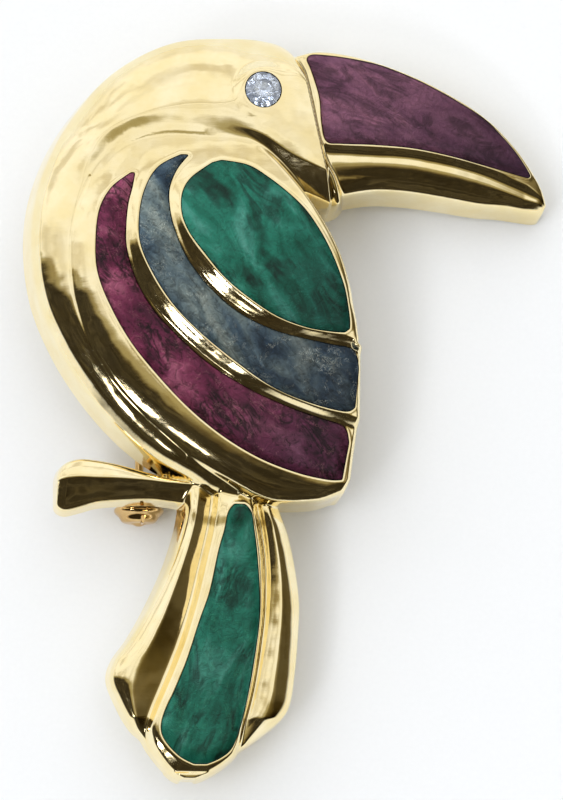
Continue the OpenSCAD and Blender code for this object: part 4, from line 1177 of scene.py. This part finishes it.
def plate(m, low, high, corner=0.35, edge=0.08):
    """A block with rounded corners in plan and small bevels above and below. u is from the axis."""
    low, high = np.add(low, (PIN_U, 0, 0)), np.add(high, (PIN_U, 0, 0))
    layers = []
    for w, inset in ((low[2], edge), (low[2] + edge, 0), (high[2] - edge, 0), (high[2], edge)):
        loop = []
        for k, (su, sv) in enumerate(((1, 1), (-1, 1), (-1, -1), (1, -1))):
            centre = np.where((su > 0, sv > 0), high[:2] - corner, low[:2] + corner)
            for t in np.radians(np.linspace(90 * k, 90 * k + 90, 7)):
                loop.append([*(centre + (corner - inset) * np.array([math.cos(t), math.sin(t)])), w])
        layers.append(m.add(loop))
    n = len(loop)
    for a, b in zip(layers, layers[1:]):
        m.faces += strip(a, b, n)
    m.faces.append(tuple(range(layers[0] + n - 1, layers[0] - 1, -1)))
    m.faces.append(tuple(range(layers[-1], layers[-1] + n)))


# The bell at the catch's end: its middle, its length and radius, and the height and number of the
# ripples of its surface. Then the radii of the stem and the knuckle, and the foot plates' w.
BELL_V, BELL_LENGTH, BELL_R = -0.35, 1.30, 1.88
RIPPLE_H, RIPPLES = 0.06, 9
STEM_R = 0.45
KNUCKLE_R = 1.6
PLATE_W = (-0.55, -0.05)
# The foot plates, then the posts of the catch and the hinge, then the catch's tongue: two opposite
# corners of each, and where they differ the radius of its corners and its bevel
PLATES = [
    ((-1.5, -0.544, PLATE_W[0]), (1.5, 1.656, PLATE_W[1])),
    ((-1.5, HINGE_V - 1.6, PLATE_W[0]), (1.5, HINGE_V + 1.6, PLATE_W[1])),
    ((-0.8, -0.5, PIN_W), (0.8, 1.0, -0.4), 0.2),
    ((-0.8, HINGE_V - 1.15, PIN_W), (0.8, HINGE_V + 1.15, -0.4), 0.2),
    ((0.02, -1.62, PIN_W + 0.6), (0.3, -1.0, PIN_W + 1.62), 0.1, 0.05)]
# Edges of the pin back that turn more than this, in degrees, stay sharp
SHARP = 38


def pin_back(material):
    m = Mesh()
    bell = []
    for turn in np.radians(np.linspace(4, 90, 44)):
        ripple = RIPPLE_H * math.cos(turn * RIPPLES)
        bell.append((BELL_V - (BELL_LENGTH + ripple) * math.cos(turn), (BELL_R + ripple) * math.sin(turn)))
    turned_part(m, [(-1.7, 0)] + bell + [(-0.1, 1.55), (0.5, 1.5)] + arc(0.76, 1.66, 0.29, 15, 180, 11)
                + [(1.0, 1.3), (1.0, 0)])
    knuckle = [(HINGE_V - 1.1, 0), (HINGE_V - 1.1, 1.5)] + arc(HINGE_V - 0.85, KNUCKLE_R, 0.35, 0, 130)
    knuckle += [(HINGE_V - 0.3, KNUCKLE_R), (HINGE_V + 0.3, KNUCKLE_R)]
    knuckle += arc(HINGE_V + 0.85, KNUCKLE_R, 0.35, 50, 180) + [(HINGE_V + 1.15, 1.5), (HINGE_V + 1.15, 0)]
    turned_part(m, knuckle)
    turned_part(m, [(CATCH_V, 0), (-0.3, 0.12), (0.2, 0.26), (1.2, 0.32), (4.0, 0.35), (HINGE_V - 3, STEM_R),
                    (HINGE_V - 0.4, STEM_R), (HINGE_V - 0.4, 0)], count=28)
    for shape in PLATES:
        plate(m, *shape)
    piece = m.build("pin_and_catch", material)
    piece.data.set_sharp_from_angle(angle=math.radians(SHARP))
    return piece


pin = pin_back(shaded_gold)
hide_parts("pin_back")

# The paper that it lies on
PAPER = 0.6
mesh = bpy.data.meshes.new("floor")
corners = [(-PAPER, -PAPER, 0), (PAPER, -PAPER, 0), (PAPER, PAPER, 0), (-PAPER, PAPER, 0)]
mesh.from_pydata(corners, [], [(0, 1, 2, 3)])
floor = in_scene("floor", mesh)
paper, tree, shader = new_material("paper")
fibres = noise(tree, in_mm(tree), scale=3.0, detail=4.0)
wire(tree, shader, {
    "Base Color": ramp(tree, fibres, [(0.3, (0.895, 0.925, 0.975)), (0.7, (0.91, 0.94, 0.99))]),
    "Roughness": 0.8,
    "Specular IOR Level": 0.1})
mesh.materials.append(paper)

# Soft light from above and from the top of the picture, and a dark side towards its foot, which
# the polished metal mirrors
world = bpy.data.worlds.new("studio")
bpy.context.scene.world = world
world.use_nodes = True
tree = world.node_tree
way = coordinates(tree, "Generated")
apart = node(tree, "SeparateXYZ", {0: way})
# The edge between dark and light is wavy, and sharper on the left
wave = noise(tree, way, scale=2.5)
lean = dot(tree, way, (0.165, 1.0, 0.0))
lean = node(tree, "Math", {0: wave, 1: 0.12, 2: lean}, operation="MULTIPLY_ADD").outputs[0]
sharp = mapped(tree, apart.outputs["X"], (-0.5, -0.15), (2.2, 0.5))
lean = node(tree, "Math", {0: lean, 1: -0.06}, operation="ADD").outputs[0]
lean = node(tree, "Math", {0: lean, 1: sharp, 2: 0.5}, operation="MULTIPLY_ADD", use_clamp=True).outputs[0]
DARK = (0.03, 0.024, 0.014)
sky = ramp(tree, lean, [(0.0, DARK), (0.28, DARK), (0.325, (0.12, 0.09, 0.04)), (0.38, (0.37, 0.32, 0.17)),
                        (0.455, (0.42, 0.37, 0.22)), (0.495, (1.0, 0.99, 0.96)), (1.0, 1.08)])
# The dark side is mottled
mottle = noise(tree, way, scale=9.0, detail=5.0, rough=0.75, warp=1.5)
mottle = ramp(tree, mottle, [(0.46, 0), (0.54, (0.02, 0.017, 0.011)), (0.66, (0.10, 0.085, 0.05))])
sky = mixed(tree, sky, mixed(tree, mottle, ramp(tree, lean, [(0.36, 1), (0.47, 0)])), "ADD")
# The right is dark as well, and all of it smeared
right = ramp(tree, apart.outputs["X"], [(0.42, 1), (0.6, (0.35, 0.3, 0.18)), (0.75, (0.10, 0.08, 0.04))])
sky = mixed(tree, sky, right)
smear = noise(tree, scaled(tree, way, (2.0, 7.0, 3.0)), scale=1.0, detail=3.0, rough=0.6)
sky = mixed(tree, sky, ramp(tree, smear, [(0.38, (0.72, 0.68, 0.6)), (0.5, 1)]))
# Near the horizon there is the paper's own light
low = ramp(tree, apart.outputs["Z"], [(0.10, 1), (0.24, 0)])
sky = mixed(tree, sky, (0.95, 0.95, 0.95, 1), "MIX", factor=low)
# Two small bright lamps: where they are, their width and their power
for place_at, width, power in (((-0.5, -0.5, 0.707), 0.004, 14.0), ((-0.36, -0.64, 0.68), 0.0015, 6.0)):
    near = dot(tree, way, Vector(place_at).normalized())
    glow = mapped(tree, near, (1 - width, 1 - width * 0.5), (0.0, power))
    sky = mixed(tree, sky, glow, "ADD")
tree.links.new(sky, tree.nodes["Background"].inputs["Color"])

# The key light casts the shadow to the right, the fill whitens the paper: energy, spread in
# degrees, and from where
SUNS = [("key", 0.6, 26, (-0.50, -0.16, 0.86)), ("fill", 1.2, 170, (0, 0, 1))]
for name, energy, spread, source in SUNS:
    sun = in_scene(name, bpy.data.lights.new(name, "SUN"))
    sun.data.energy = energy
    sun.data.angle = math.radians(spread)
    sun.visible_glossy = False
    sun.rotation_euler = Vector(source).to_track_quat("Z", "Y").to_euler()
bpy.context.scene.view_settings.view_transform = "Standard"

# The camera: the place on the plane that it looks at, its elevation, its distance in metres, and
# the sensor's height and the focal length in millimetres
LOOK_AT = (19.2, 7.5, 3.0)
ELEVATION = math.radians(80)
DISTANCE = 0.24
SENSOR, LENS = 24, 94.35
camera = in_scene("camera", bpy.data.cameras.new("camera"))
look = Vector(lay([LOOK_AT])[0].tolist())
eye_at = look + Vector((0, -math.cos(ELEVATION), math.sin(ELEVATION))) * DISTANCE
camera.location = eye_at
camera.rotation_euler = (look - eye_at).to_track_quat("-Z", "Y").to_euler()
camera.data.sensor_fit = "VERTICAL"
camera.data.sensor_height = SENSOR
camera.data.lens = LENS
bpy.context.scene.camera = camera
